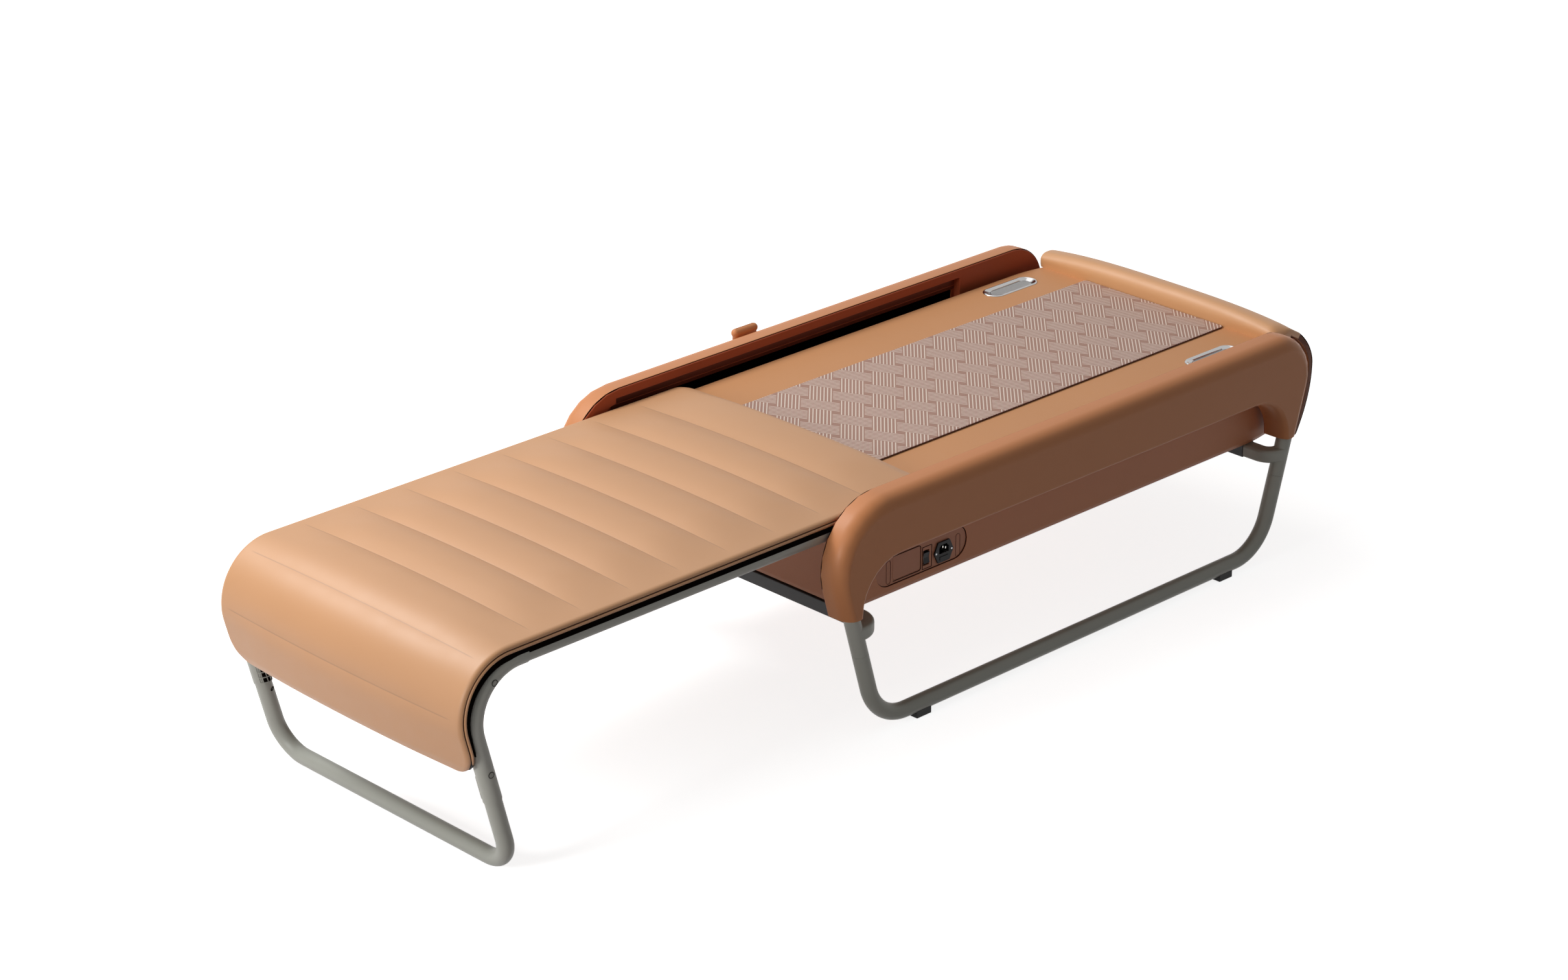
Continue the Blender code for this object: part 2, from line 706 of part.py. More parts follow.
def turned(name, profile, look, steps, axis="Y"):
    """A profile (distance from the axis, place along it), top to bottom, turned about an axis."""
    data = bpy.data.meshes.new(name)
    points = [(radius, 0, place) for radius, place in profile]
    edges = [(index, index + 1) for index in range(len(points) - 1)]
    data.from_pydata(points, edges, [])
    made = add(name, data, look)
    screw = made.modifiers.new("turn", "SCREW")
    screw.steps = steps
    screw.render_steps = steps
    screw.use_merge_vertices = True
    screw.merge_threshold = 0.00001
    screw.use_smooth_shade = True
    if axis == "Y":
        made.rotation_euler.x = -math.pi / 2
    return made


def post_spot(end, side, height):
    """Point of a leg post's centre line at this height."""
    reach = RAIL_HALF_SPAN + LEG_LEAN * (height - RAIL_HEIGHT)
    return Vector((ENDS[end] * reach, SIDES[side] * LOOP_OUT, height))


def leg_loop(side):
    """Floor rail with a bend at each end, up to the joint seams."""
    corners = [
        (post_spot("foot", side, LEG_JOINT_HEIGHT - GAP / 2), 0),
        (post_spot("foot", side, RAIL_HEIGHT), RAIL_BEND),
        (post_spot("head", side, RAIL_HEIGHT), RAIL_BEND),
        (post_spot("head", side, LEG_JOINT_HEIGHT - GAP / 2), 0),
    ]
    return tube("leg_loop_" + side, bent_path(corners), TUBE_RADIUS, "warm_grey_paint")


def elbow_spine(end, side):
    """Path of the elbow bracket, from the beam's end out and round to the post."""
    beam_x = -BEAM_FOOT if end == "foot" else BEAM_HEAD
    post_x = post_spot(end, side, ELBOW_LEVEL).x
    bend = min(ELBOW_BENDS[end], abs(post_x - beam_x) * ELBOW_BEND_SHARE)
    out = SIDES[side]
    return [
        (Vector((beam_x, out * (BEAM_HALF_LENGTH + GAP), ELBOW_LEVEL)), 0),
        (Vector((beam_x, out * LOOP_OUT, ELBOW_LEVEL)), bend),
        (Vector((post_x, out * LOOP_OUT, ELBOW_LEVEL)), 0),
    ]


def leg_post(end, side):
    """Straight tube from the joint seam up into the panel's sleeve, with its welded elbow bracket."""
    name = "leg_post_" + end + "_" + side
    low = post_spot(end, side, LEG_JOINT_HEIGHT + GAP / 2)
    high = post_spot(end, side, POST_TOP)
    post = as_mesh(tube(name, [low, high], TUBE_RADIUS, "warm_grey_paint"))
    half_width, half_height = ELBOW_WIDTH / 2, ELBOW_HEIGHT / 2
    corners = rectangle(-half_width, half_width, -half_height, half_height, ELBOW_ROUND)
    section = outline(corners, steps=2)
    spine = bent_path(elbow_spine(end, side), steps=5)
    rings = []
    for index, point in enumerate(spine):
        before = spine[max(index - 1, 0)]
        after = spine[min(index + 1, len(spine) - 1)]
        along = (after - before).normalized()
        across = Vector((along.y, -along.x, 0))
        rings.append([point + across * u + Vector((0, 0, v)) for u, v in section])
    join(post, loft(name + " elbow", rings, None))
    return post


def foot_pad(end, side):
    """Black pad under the floor rail, hollowed for the tube."""
    name = "foot_pad_" + end + "_" + side
    middle = ENDS[end] * (RAIL_HALF_SPAN - PAD_IN)
    out = SIDES[side] * LOOP_OUT
    low = (middle - PAD_LENGTH / 2, out - PAD_WIDTH / 2, 0)
    high = (middle + PAD_LENGTH / 2, out + PAD_WIDTH / 2, PAD_HEIGHT)
    pad = block(name, low, high, "black_rubber")
    start = Vector((middle - PAD_LENGTH, out, RAIL_HEIGHT))
    end_point = Vector((middle + PAD_LENGTH, out, RAIL_HEIGHT))
    return cut(pad, rod(name + " seat", start, end_point, TUBE_RADIUS + GAP, None, sides=24))


def panel_corners():
    """Corners of the side panel's outline, anticlockwise from the foot sleeve."""
    lean = (PANEL_TOP - SLEEVE_BOTTOM) * LEG_LEAN
    top = SLEEVE_OUTER + lean
    return [
        (-SLEEVE_OUTER, SLEEVE_BOTTOM, 0),
        (-SLEEVE_INNER, SLEEVE_BOTTOM, 0),
        (-SLEEVE_INNER, ARCH_TOP, ARCH_RADIUS),
        (SLEEVE_INNER, ARCH_TOP, ARCH_RADIUS),
        (SLEEVE_INNER, SLEEVE_BOTTOM, 0),
        (SLEEVE_OUTER, SLEEVE_BOTTOM, 0),
        (top, PANEL_TOP, PANEL_HEAD_RADIUS),
        (-top, PANEL_TOP, PANEL_END_RADIUS),
    ]


def panel_insets(bottom, arch, end, top):
    """Insets of the panel's eight edges in the order of its corners."""
    return [bottom, arch, arch, arch, bottom, end, top, end]


def panel_rings(side, wall, inner, outer, bottom):
    """Rings from the open inner side to the rounded outer face, moved in by the wall."""
    rings = []
    depth = PANEL_ROUND - wall
    base = inset_corners(panel_corners(), panel_insets(bottom, wall, wall, wall))
    rings.append(lay(outline(base), "Y", SIDES[side] * inner))
    for step in range(ROUND_STEPS + 1):
        angle = step / ROUND_STEPS * math.pi / 2
        fall = 1 - math.cos(angle)
        insets = panel_insets(
            bottom,
            wall + (ARCH_ROUND - wall / 2) * fall,
            wall + (PANEL_END_ROUND - wall / 2) * fall,
            wall + (PANEL_ROUND - wall) * fall,
        )
        height = outer - depth + depth * math.sin(angle)
        rings.append(lay(outline(inset_corners(panel_corners(), insets)), "Y", SIDES[side] * height))
    return rings


def side_panel(side):
    """Moulded outer panel: hollow shell with an arch and a sleeve over each leg post."""
    name = "side_panel_" + side
    shell = loft(name, panel_rings(side, 0, PANEL_IN, PANEL_OUT, 0), "tan_shell")
    hollow = panel_rings(side, PANEL_WALL, PANEL_IN - OVERRUN, PANEL_OUT - PANEL_WALL, -OVERRUN)
    return cut(shell, loft(name + " hollow", hollow, None))


def slot_corners(grow=0):
    """The runner slot: curved at the foot end, with a step up to its full height."""
    shape = [
        (-SLOT_FOOT, SLOT_BOTTOM, SLOT_RADIUS),
        (SLOT_HEAD, SLOT_BOTTOM, SLOT_RADIUS),
        (SLOT_HEAD, SLOT_TOP, SLOT_RADIUS),
        (-SLOT_FOOT + SLOT_STEP, SLOT_TOP, LEAST_RADIUS),
        (-SLOT_FOOT + SLOT_STEP, SLOT_TOP - SLOT_STEP_DROP, LEAST_RADIUS),
        (-SLOT_FOOT, SLOT_TOP - SLOT_STEP_DROP, SLOT_FOOT_RADIUS),
    ]
    return inset_corners(shape, [-grow] * len(shape)) if grow else shape


def inner_cover(side):
    """Cover over the panel's open side, with the runner slot and the stepped tray behind it."""
    name = "inner_cover_" + side
    out = SIDES[side]
    outer = PANEL_IN - GAP
    rings = []
    for height, inset in ((outer, 0), (COVER_IN + COVER_EDGE, 0), (COVER_IN, COVER_EDGE)):
        edge = COVER_INSET + inset
        corners = inset_corners(panel_corners(), panel_insets(0, edge, edge, edge))
        rings.append(lay(outline(corners), "Y", out * height))
    cover = loft(name, rings, "dark_cover")
    back = outer + TRAY_DEPTH
    tray = slot_corners(TRAY_WALL)
    join(cover, prism(name + " tray", tray, "Y", out * (outer - TRAY_WALL), out * back, None, 3))
    tray_floor = back - TRAY_WALL
    low, high = out * (COVER_IN - OVERRUN), out * tray_floor
    mouth = prism(name + " mouth", slot_corners(), "Y", low, high, None, 3)
    inner_slot = rectangle(
        -SLOT_FOOT + SLOT_STEP,
        SLOT_HEAD - TRAY_STEP,
        SLOT_BOTTOM + TRAY_WALL,
        SLOT_TOP - TRAY_STEP,
        SLOT_RADIUS,
    )
    low, high = out * (tray_floor - OVERRUN), out * (back + OVERRUN)
    through = prism(name + " through", inner_slot, "Y", low, high, None, 3)
    return cut(cover, mouth, through)


def box_corners():
    """Plan of the body: square at the foot end, drawn in gently at the head end."""
    return [
        (-BOX_FOOT, -BOX_HALF_WIDTH, BOX_CORNER),
        (BOX_TAPER_START, -BOX_HALF_WIDTH, BOX_TAPER_RADIUS),
        (BOX_HEAD, -BOX_HALF_WIDTH + BOX_TAPER_IN, BOX_HEAD_CORNER),
        (BOX_HEAD, BOX_HALF_WIDTH - BOX_TAPER_IN, BOX_HEAD_CORNER),
        (BOX_TAPER_START, BOX_HALF_WIDTH, BOX_TAPER_RADIUS),
        (-BOX_FOOT, BOX_HALF_WIDTH, BOX_CORNER),
    ]


def box_ring(height, side_inset, end_inset):
    insets = [side_inset, side_inset, end_inset, side_inset, side_inset, end_inset]
    return lay(outline(inset_corners(box_corners(), insets), 4), "Z", height)


def main_box_shell():
    """Open tub with a ledge along each side for the runners, and a hole for the power plate."""
    step_in = BOX_HALF_WIDTH - STEP_HALF_WIDTH
    edge = BOX_EDGE * BOX_EDGE_SHARE
    inner_edge = edge + BOX_WALL * BOX_INNER_SHARE
    rings = [
        box_ring(BOX_BOTTOM, BOX_EDGE, BOX_EDGE),
        box_ring(BOX_BOTTOM + edge, edge, edge),
        box_ring(BOX_BOTTOM + BOX_EDGE, 0, 0),
        box_ring(LEDGE_TOP, 0, 0),
        box_ring(LEDGE_TOP, step_in, BOX_WALL),
        box_ring(DECK_BOTTOM - GAP, step_in, BOX_WALL),
        box_ring(DECK_BOTTOM - GAP, step_in + BOX_WALL, BOX_WALL * 2),
        box_ring(LEDGE_TOP - BOX_WALL, step_in + BOX_WALL, BOX_WALL * 2),
        box_ring(LEDGE_TOP - BOX_WALL, BOX_WALL, BOX_WALL),
        box_ring(BOX_BOTTOM + BOX_EDGE, BOX_WALL, BOX_WALL),
        box_ring(BOX_BOTTOM + inner_edge, inner_edge, inner_edge),
        box_ring(BOX_BOTTOM + BOX_WALL, BOX_EDGE, BOX_EDGE),
    ]
    shell = loft("main_box_shell", rings, "tan_shell")
    hole = prism(
        "power plate hole",
        plate_corners(0),
        "Y",
        -BOX_HALF_WIDTH - OVERRUN,
        -BOX_HALF_WIDTH + BOX_WALL + OVERRUN,
        None,
    )
    return cut(shell, hole)


def base_pan():
    """Steel pan that lies on the floor of the tub and carries the mechanism."""
    corners = inset_corners(box_corners(), [BOX_EDGE + GAP] * 6)
    floor = BOX_BOTTOM + BOX_WALL
    return prism("base_pan", corners, "Z", floor + GAP, PAN_TOP - GAP, "steel", 4)


def speaker_corners(side, grow):
    """Round-ended outline of a speaker, grown by this much."""
    half_length, half_width = SPEAKER_LENGTH / 2 + grow, SPEAKER_WIDTH / 2 + grow
    middle = SIDES[side] * SPEAKER_Y
    return rectangle(
        SPEAKER_X - half_length,
        SPEAKER_X + half_length,
        middle - half_width,
        middle + half_width,
        half_width * ROUND_END_SHARE,
    )


def top_deck():
    """Padded-look deck plate on the tub, with thin lips over the frame tubes."""
    lip = DECK_HALF_WIDTH - STEP_HALF_WIDTH
    side = BOX_HALF_WIDTH - DECK_HALF_WIDTH
    rings = [
        box_ring(DECK_BOTTOM, side + lip, DECK_END_GAP + DECK_EDGE),
        box_ring(DECK_TOP - DECK_LIP, side + lip, DECK_END_GAP + DECK_EDGE),
        box_ring(DECK_TOP - DECK_LIP, side, DECK_END_GAP),
        box_ring(DECK_TOP - DECK_EDGE, side, DECK_END_GAP),
        box_ring(DECK_TOP, side + DECK_EDGE, DECK_END_GAP + DECK_EDGE),
    ]
    deck = loft("top_deck", rings, "tan_leather")
    low, high = DECK_BOTTOM - OVERRUN, DECK_TOP + OVERRUN
    track = rectangle(-TRACK_FOOT, TRACK_HEAD, -TRACK_HALF_WIDTH, TRACK_HALF_WIDTH, TRACK_RADIUS)
    cut(deck, prism("track opening", track, "Z", low, high, None, 4))
    for side in SIDES:
        corners = speaker_corners(side, -SPEAKER_PROUD)
        cut(deck, prism("speaker opening " + side, corners, "Z", low, high, None, 6))
    return deck


def top_mat():
    """Woven-look mat over the roller track, lying on the deck."""
    corners = rectangle(-MAT_FOOT, MAT_HEAD, -MAT_HALF_WIDTH, MAT_HALF_WIDTH, MAT_RADIUS)
    low, high = DECK_TOP + GAP, DECK_TOP + GAP + MAT_THICKNESS
    levels = ((low, MAT_EDGE), (low + MAT_EDGE, 0), (high - MAT_EDGE, 0), (high, MAT_EDGE))
    rings = []
    for height, inset in levels:
        rings.append(lay(outline(inset_corners(corners, [inset] * 4)), "Z", height))
    return loft("top_mat", rings, "woven_top")


def speaker_bezel(side):
    """Chrome rim of a speaker, dished towards its grille."""
    name = "speaker_bezel_" + side
    levels = (
        (DECK_TOP - SPEAKER_DEPTH, -SPEAKER_PROUD - GAP),
        (DECK_TOP + GAP, -SPEAKER_PROUD - GAP),
        (DECK_TOP + GAP, 0),
        (DECK_TOP + SPEAKER_PROUD, -SPEAKER_PROUD),
        (DECK_TOP + SPEAKER_PROUD, -SPEAKER_PROUD * 2),
        (DECK_TOP - GRILLE_DROP, -SPEAKER_RIM),
        (DECK_TOP - SPEAKER_DEPTH, -SPEAKER_RIM),
    )
    rings = [lay(outline(speaker_corners(side, grow), 6), "Z", height) for height, grow in levels]
    return loft(name, rings, "chrome", closed=True)


def speaker_grille(side):
    """Perforated plate in the speaker's rim."""
    name = "speaker_grille_" + side
    top = DECK_TOP - GRILLE_DROP
    plate = prism(
        name, speaker_corners(side, -SPEAKER_RIM - GAP), "Z", top - GRILLE_THICKNESS, top, "steel", 6
    )
    middle = SIDES[side] * SPEAKER_Y
    bm = bmesh.new()
    for row in range(GRILLE_ROWS):
        for column in range(GRILLE_COLUMNS):
            radius = GRILLE_HOLE
            made = bmesh.ops.create_cone(
                bm, cap_ends=True, segments=6, radius1=radius, radius2=radius, depth=OVERRUN * 2
            )
            x = SPEAKER_X + (column - (GRILLE_COLUMNS - 1) / 2) * GRILLE_PITCH
            y = middle + (row - (GRILLE_ROWS - 1) / 2) * GRILLE_PITCH
            bmesh.ops.translate(bm, verts=made["verts"], vec=Vector((x, y, top)))
    return cut(plate, mesh_object(name + " holes", bm, None))


def cross_beam(end):
    """Square tube under the body, between the elbow brackets."""
    name = "cross_beam_" + end
    middle = -BEAM_FOOT if end == "foot" else BEAM_HEAD
    top = BOX_BOTTOM - GAP
    data = bpy.data.curves.new(name, "CURVE")
    data.dimensions = "2D"
    data.fill_mode = "BOTH"
    data.extrude = BEAM_HALF_LENGTH
    for wall in (0, BEAM_WALL):
        half_width, half_height = BEAM_WIDTH / 2 - wall, (top - BEAM_BOTTOM) / 2 - wall
        spline = data.splines.new("POLY")
        radius = BEAM_WALL + GAP - wall
        points = outline(rectangle(-half_width, half_width, -half_height, half_height, radius), 2)
        spline.points.add(len(points) - 1)
        spline.use_cyclic_u = True
        for spot, (u, v) in zip(spline.points, points):
            spot.co = (u, v, 0, 1)
    made = add(name, data, "beam_paint")
    made.location = (middle, 0, (top + BEAM_BOTTOM) / 2)
    made.rotation_euler.x = math.pi / 2
    return made


def plate_corners(grow):
    """Round-ended outline of the power plate, grown by this much."""
    radius = (PLATE_HEIGHT / 2 + grow) * ROUND_END_SHARE
    half = PLATE_LENGTH / 2 + grow
    high = PLATE_LOW + PLATE_HEIGHT + grow
    return rectangle(PLATE_X - half, PLATE_X + half, PLATE_LOW - grow, high, radius)


def inlet_corners(grow):
    """Flange of the power inlet: six-sided, with its points at mid-height."""
    half, flat, rise = INLET_LENGTH / 2 + grow, INLET_FLAT / 2 + grow / 2, INLET_HEIGHT / 2 + grow
    return [
        (INLET_X - flat, INLET_Z - rise, 0),
        (INLET_X + flat, INLET_Z - rise, 0),
        (INLET_X + half, INLET_Z, 0),
        (INLET_X + flat, INLET_Z + rise, 0),
        (INLET_X - flat, INLET_Z + rise, 0),
        (INLET_X - half, INLET_Z, 0),
    ]


def centred(middle_u, middle_v, width, height, radius):
    return rectangle(
        middle_u - width / 2, middle_u + width / 2, middle_v - height / 2, middle_v + height / 2, radius
    )


def power_plate():
    """Recessed plate with the switch frame, the inlet cut-out and the service recess."""
    plate = prism("power_plate", plate_corners(-GAP), "Y", PLATE_FRONT, PLATE_BACK, "tan_shell")
    service = rectangle(
        SERVICE_LOW_X,
        SERVICE_LOW_X + SERVICE_LENGTH,
        SERVICE_LOW,
        SERVICE_LOW + SERVICE_HEIGHT,
        SERVICE_RADIUS,
    )
    low, high = PLATE_FRONT - OVERRUN, PLATE_BACK + OVERRUN
    cut(plate, prism("service recess", service, "Y", low, PLATE_FRONT + SERVICE_DEPTH, None, 3))
    rocker = centred(ROCKER_X, ROCKER_Z, ROCKER_WIDTH, ROCKER_HEIGHT, 0)
    cut(plate, prism("rocker hole", rocker, "Y", low, high, None))
    body = centred(INLET_X, INLET_Z, INLET_BODY_LENGTH + GAP * 2, INLET_BODY_HEIGHT + GAP * 2, 0)
    cut(plate, prism("inlet hole", body, "Y", low, high, None))
    return plate


def service_cover():
    """Small cover in the plate's recess."""
    corners = rectangle(
        SERVICE_LOW_X + GAP,
        SERVICE_LOW_X + SERVICE_LENGTH - GAP,
        SERVICE_LOW + GAP,
        SERVICE_LOW + SERVICE_HEIGHT - GAP,
        SERVICE_RADIUS - GAP,
    )
    back = PLATE_FRONT + SERVICE_DEPTH - GAP
    return prism("service_cover", corners, "Y", PLATE_FRONT, back, "tan_shell", 3)


def rocker_switch():
    """Rocker with two sloped halves, turning on its own axis in the plate."""
    half_width = ROCKER_WIDTH / 2 - GAP
    half_height = ROCKER_HEIGHT / 2 - ROCKER_BEZEL
    crest = PLATE_FRONT - PLATE_RECESS
    points = [
        (0, crest + SERVICE_DEPTH),
        (half_height, crest),
        (half_height, crest + ROCKER_DEPTH * ROCKER_BACK_SHARE),
        (0, crest + ROCKER_DEPTH),
        (-half_height, crest + ROCKER_DEPTH * ROCKER_BACK_SHARE),
        (-half_height, crest),
    ]
    rings = [
        [Vector((across, depth - ROCKER_AXIS_Y, along)) for along, depth in points]
        for across in (-half_width, half_width)
    ]
    rocker = loft("rocker_switch", rings, "black_plastic")
    rocker.location = (ROCKER_X, ROCKER_AXIS_Y, ROCKER_Z)
    return rocker


def power_inlet():
    """Mains inlet with a hexagonal flange, a socket with three pins and a bay for the fuse drawer."""
    front = PLATE_FRONT - GAP
    inlet = prism("power_inlet", inlet_corners(0), "Y", front - INLET_FLANGE, front, "black_plastic")
    body = centred(INLET_X, INLET_Z, INLET_BODY_LENGTH, INLET_BODY_HEIGHT, 0)
    join(inlet, prism("inlet body", body, "Y", front - INLET_FLANGE / 2, front + INLET_BODY_DEPTH, None))
    face = front - INLET_FLANGE
    middle = INLET_Z + SOCKET_LIFT
    half_width, half_height = SOCKET_WIDTH / 2, SOCKET_HEIGHT / 2
    socket = [
        (INLET_X - half_width, middle - half_height, 0),
        (INLET_X + half_width, middle - half_height, 0),
        (INLET_X + half_width, middle + half_height - SOCKET_CORNER, 0),
        (INLET_X + half_width - SOCKET_CORNER, middle + half_height, 0),
        (INLET_X - half_width + SOCKET_CORNER, middle + half_height, 0),
        (INLET_X - half_width, middle + half_height - SOCKET_CORNER, 0),
    ]
    cut(inlet, prism("socket", socket, "Y", face - OVERRUN, face + SOCKET_DEPTH, None))
    bay = centred(INLET_X, INLET_Z - FUSE_DROP, FUSE_WIDTH, FUSE_HEIGHT, 0)
    cut(inlet, prism("fuse bay", bay, "Y", face - OVERRUN, face + FUSE_DEPTH, None))
    for index in (-1, 0, 1):
        rise = PIN_RISE if index == 0 else -PIN_RISE / 2
        place = (INLET_X + index * PIN_SPACING, middle + rise)
        pin = centred(*place, PIN_WIDTH, PIN_HEIGHT, 0)
        root = face + SOCKET_DEPTH
        join(inlet, prism("pin", pin, "Y", root - PIN_LENGTH, root + PIN_WIDTH, None))
    return inlet


def fuse_drawer():
    """Fuse drawer that pulls straight out of the inlet."""
    face = PLATE_FRONT - GAP - INLET_FLANGE
    width, height = FUSE_WIDTH - GAP * 2, FUSE_HEIGHT - GAP * 2
    corners = centred(INLET_X, INLET_Z - FUSE_DROP, width, height, 0)
    back = face + FUSE_DEPTH - GAP
    return prism("fuse_drawer", corners, "Y", face - FUSE_PROUD, back, "black_plastic")


def remote_holder():
    """Slim pocket on the far panel's outer face, open at the top."""
    middle_y = PANEL_OUT + GAP + HOLDER_DEPTH / 2
    half, deep = HOLDER_LENGTH / 2, HOLDER_DEPTH / 2
    bottom = HOLDER_TOP - HOLDER_HEIGHT
    radius = deep * ROUND_END_SHARE
    corners = rectangle(HOLDER_X - half, HOLDER_X + half, middle_y - deep, middle_y + deep, radius)
    levels = (
        (bottom, HOLDER_WALL),
        (bottom + HOLDER_WALL, 0),
        (HOLDER_TOP - HOLDER_WALL / 2, 0),
        (HOLDER_TOP, HOLDER_WALL / 2),
        (HOLDER_TOP, HOLDER_WALL),
        (bottom + HOLDER_FLOOR, HOLDER_WALL),
    )
    rings = []
    for height, inset in levels:
        rings.append(lay(outline(inset_corners(corners, [inset] * 4), 4), "Z", height))
    return loft("remote_holder", rings, "tan_shell")


def slide_rail(side):
    """Low plastic runner on the tub's ledge under the frame tube."""
    edges = sorted((SIDES[side] * RUNNER_IN, SIDES[side] * RUNNER_OUT))
    low = (BOX_CORNER - BOX_FOOT, edges[0], LEDGE_TOP + GAP)
    high = (BOX_TAPER_START - BOX_CORNER, edges[1], LEDGE_TOP + GAP + RUNNER_HEIGHT)
    return block("slide_rail_" + side, low, high, "black_plastic", RUNNER_EDGE)


def head_pad_line():
    """Outer line of the head pad from its front edge over the top to its tip, with crown shares."""
    seat = DECK_TOP + GAP
    line = []
    for length_share, rise_share, drop_share, crown_share in HEAD_PAD_LINE_SHARES:
        x = HEAD_PAD_FRONT + HEAD_PAD_LENGTH * length_share
        z = seat + HEAD_PAD_RISE * rise_share - HEAD_PAD_DROP * drop_share
        line.append((x, z, crown_share))
    return line


def head_pad_inner(line):
    """The same line moved in by the pad's thickness, which thins out at both ends."""
    inner = []
    last = len(line) - 1
    for index, (x, z, share) in enumerate(line):
        ahead, behind = line[min(index + 1, last)], line[max(index - 1, 0)]
        along = Vector((ahead[0] - behind[0], ahead[1] - behind[1])).normalized()
        depth = HEAD_PAD_SKIN * min(1, (last - index) / 2)
        inner.append((x + along.y * depth, z - along.x * depth, share))
    return inner


def head_end_pad():
    """Tan padded skin that wraps over the head end, with a crown across the bed."""
    line = head_pad_line()
    inner = [(x, z) for x, z, share in head_pad_inner(line) if z > HEAD_TIP_Z][2:]
    seat = DECK_TOP + GAP
    under = [(x, max(z, seat) if x < BOX_HEAD else z) for x, z in inner]
    widths = [-share for share in reversed(HEAD_PAD_HALF_SHARES[1:])] + list(HEAD_PAD_HALF_SHARES)
    rings = []
    for share in widths:
        across = share * HEAD_PAD_HALF
        crown = HEAD_PAD_CROWN * (1 - abs(share) ** 2.4)
        round_in = HEAD_PAD_END_ROUND if abs(share) == 1 else 0
        tuck, lowered = round_in * HEAD_PAD_TUCK_SHARE, round_in * HEAD_PAD_LOWERED_SHARE
        ring = []
        for x, z, weight in line:
            drawn_x = x - tuck if x > BOX_HEAD else x
            raised_z = z + crown * weight - lowered if weight > 0 else z
            ring.append(Vector((drawn_x, across, raised_z)))
        for x, z in reversed(under):
            ring.append(Vector((x, across, z)))
        rings.append(ring)
    return loft("head_end_pad", rings, "tan_leather")


def head_pad_backing():
    """Brown moulding behind the head pad, seated on the tub's head face."""
    seat_x = BOX_HEAD + GAP
    outer = []
    for x, z, share in head_pad_inner(head_pad_line()):
        beyond_box = x > BOX_HEAD + BACKING_WALL * 2
        if beyond_box and HEAD_TIP_Z + BACKING_WALL < z < BACKING_SEAT_HIGH:
            outer.append((x - GAP * 2, z - GAP * 2))
    foot_x = seat_x + (HEAD_PAD_OUT - seat_x) * BACKING_SHARE
    inner = [
        (HEAD_TIP_X - BACKING_WALL * 3, HEAD_TIP_Z + BACKING_WALL * 2),
        (foot_x, BACKING_SEAT_LOW - BACKING_DROP),
        (seat_x, BACKING_SEAT_LOW),
        (seat_x, BACKING_SEAT_HIGH),
    ]
    points = [Vector(point) for point in outer + inner]
    rings = [lay(points, "Y", -BACKING_HALF), lay(points, "Y", BACKING_HALF)]
    return loft("head_pad_backing", rings, "brown_shell")


def aux_leg_x(height):
    """X of the leg mat's leg centre line at this height."""
    return -AUX_BAR_OUT - AUX_LEAN * (height - TUBE_RADIUS)


def aux_frame_tube(side):
    """Straight frame tube from the slider block to the bend's seam."""
    out = SIDES[side] * AUX_TUBE_OUT
    start = Vector((-AUX_SLEEVE_START + GAP / 2, out, AUX_TUBE_HEIGHT))
    end = Vector((-AUX_HEAD - AUX_TUBE_HEAD_IN, out, AUX_TUBE_HEIGHT))
    return tube("aux_frame_tube_" + side, [start, end], TUBE_RADIUS, "warm_grey_paint")


def aux_tube_bend(side):
    """Thicker bend piece from the frame tube down to the leg's joint seam."""
    out = SIDES[side] * AUX_TUBE_OUT
    corners = [
        (Vector((-AUX_SLEEVE_START - GAP / 2, out, AUX_TUBE_HEIGHT)), 0),
        (Vector((aux_leg_x(AUX_TUBE_HEIGHT), out, AUX_TUBE_HEIGHT)), AUX_BEND),
        (Vector((aux_leg_x(AUX_JOINT_HEIGHT + GAP), out, AUX_JOINT_HEIGHT + GAP)), 0),
    ]
    path = bent_path(corners, 8)
    return tube("aux_tube_bend_" + side, path, AUX_SLEEVE_RADIUS, "warm_grey_paint")


def aux_foot_leg():
    """U-shaped foot: two leaning legs and the bar that rests on the floor."""
    corners = [
        (Vector((aux_leg_x(AUX_JOINT_HEIGHT), -AUX_TUBE_OUT, AUX_JOINT_HEIGHT)), 0),
        (Vector((aux_leg_x(TUBE_RADIUS), -AUX_TUBE_OUT, TUBE_RADIUS)), AUX_BAR_BEND),
        (Vector((aux_leg_x(TUBE_RADIUS), AUX_TUBE_OUT, TUBE_RADIUS)), AUX_BAR_BEND),
        (Vector((aux_leg_x(AUX_JOINT_HEIGHT), AUX_TUBE_OUT, AUX_JOINT_HEIGHT)), 0),
    ]
    return tube("aux_foot_leg", bent_path(corners), TUBE_RADIUS, "warm_grey_paint")


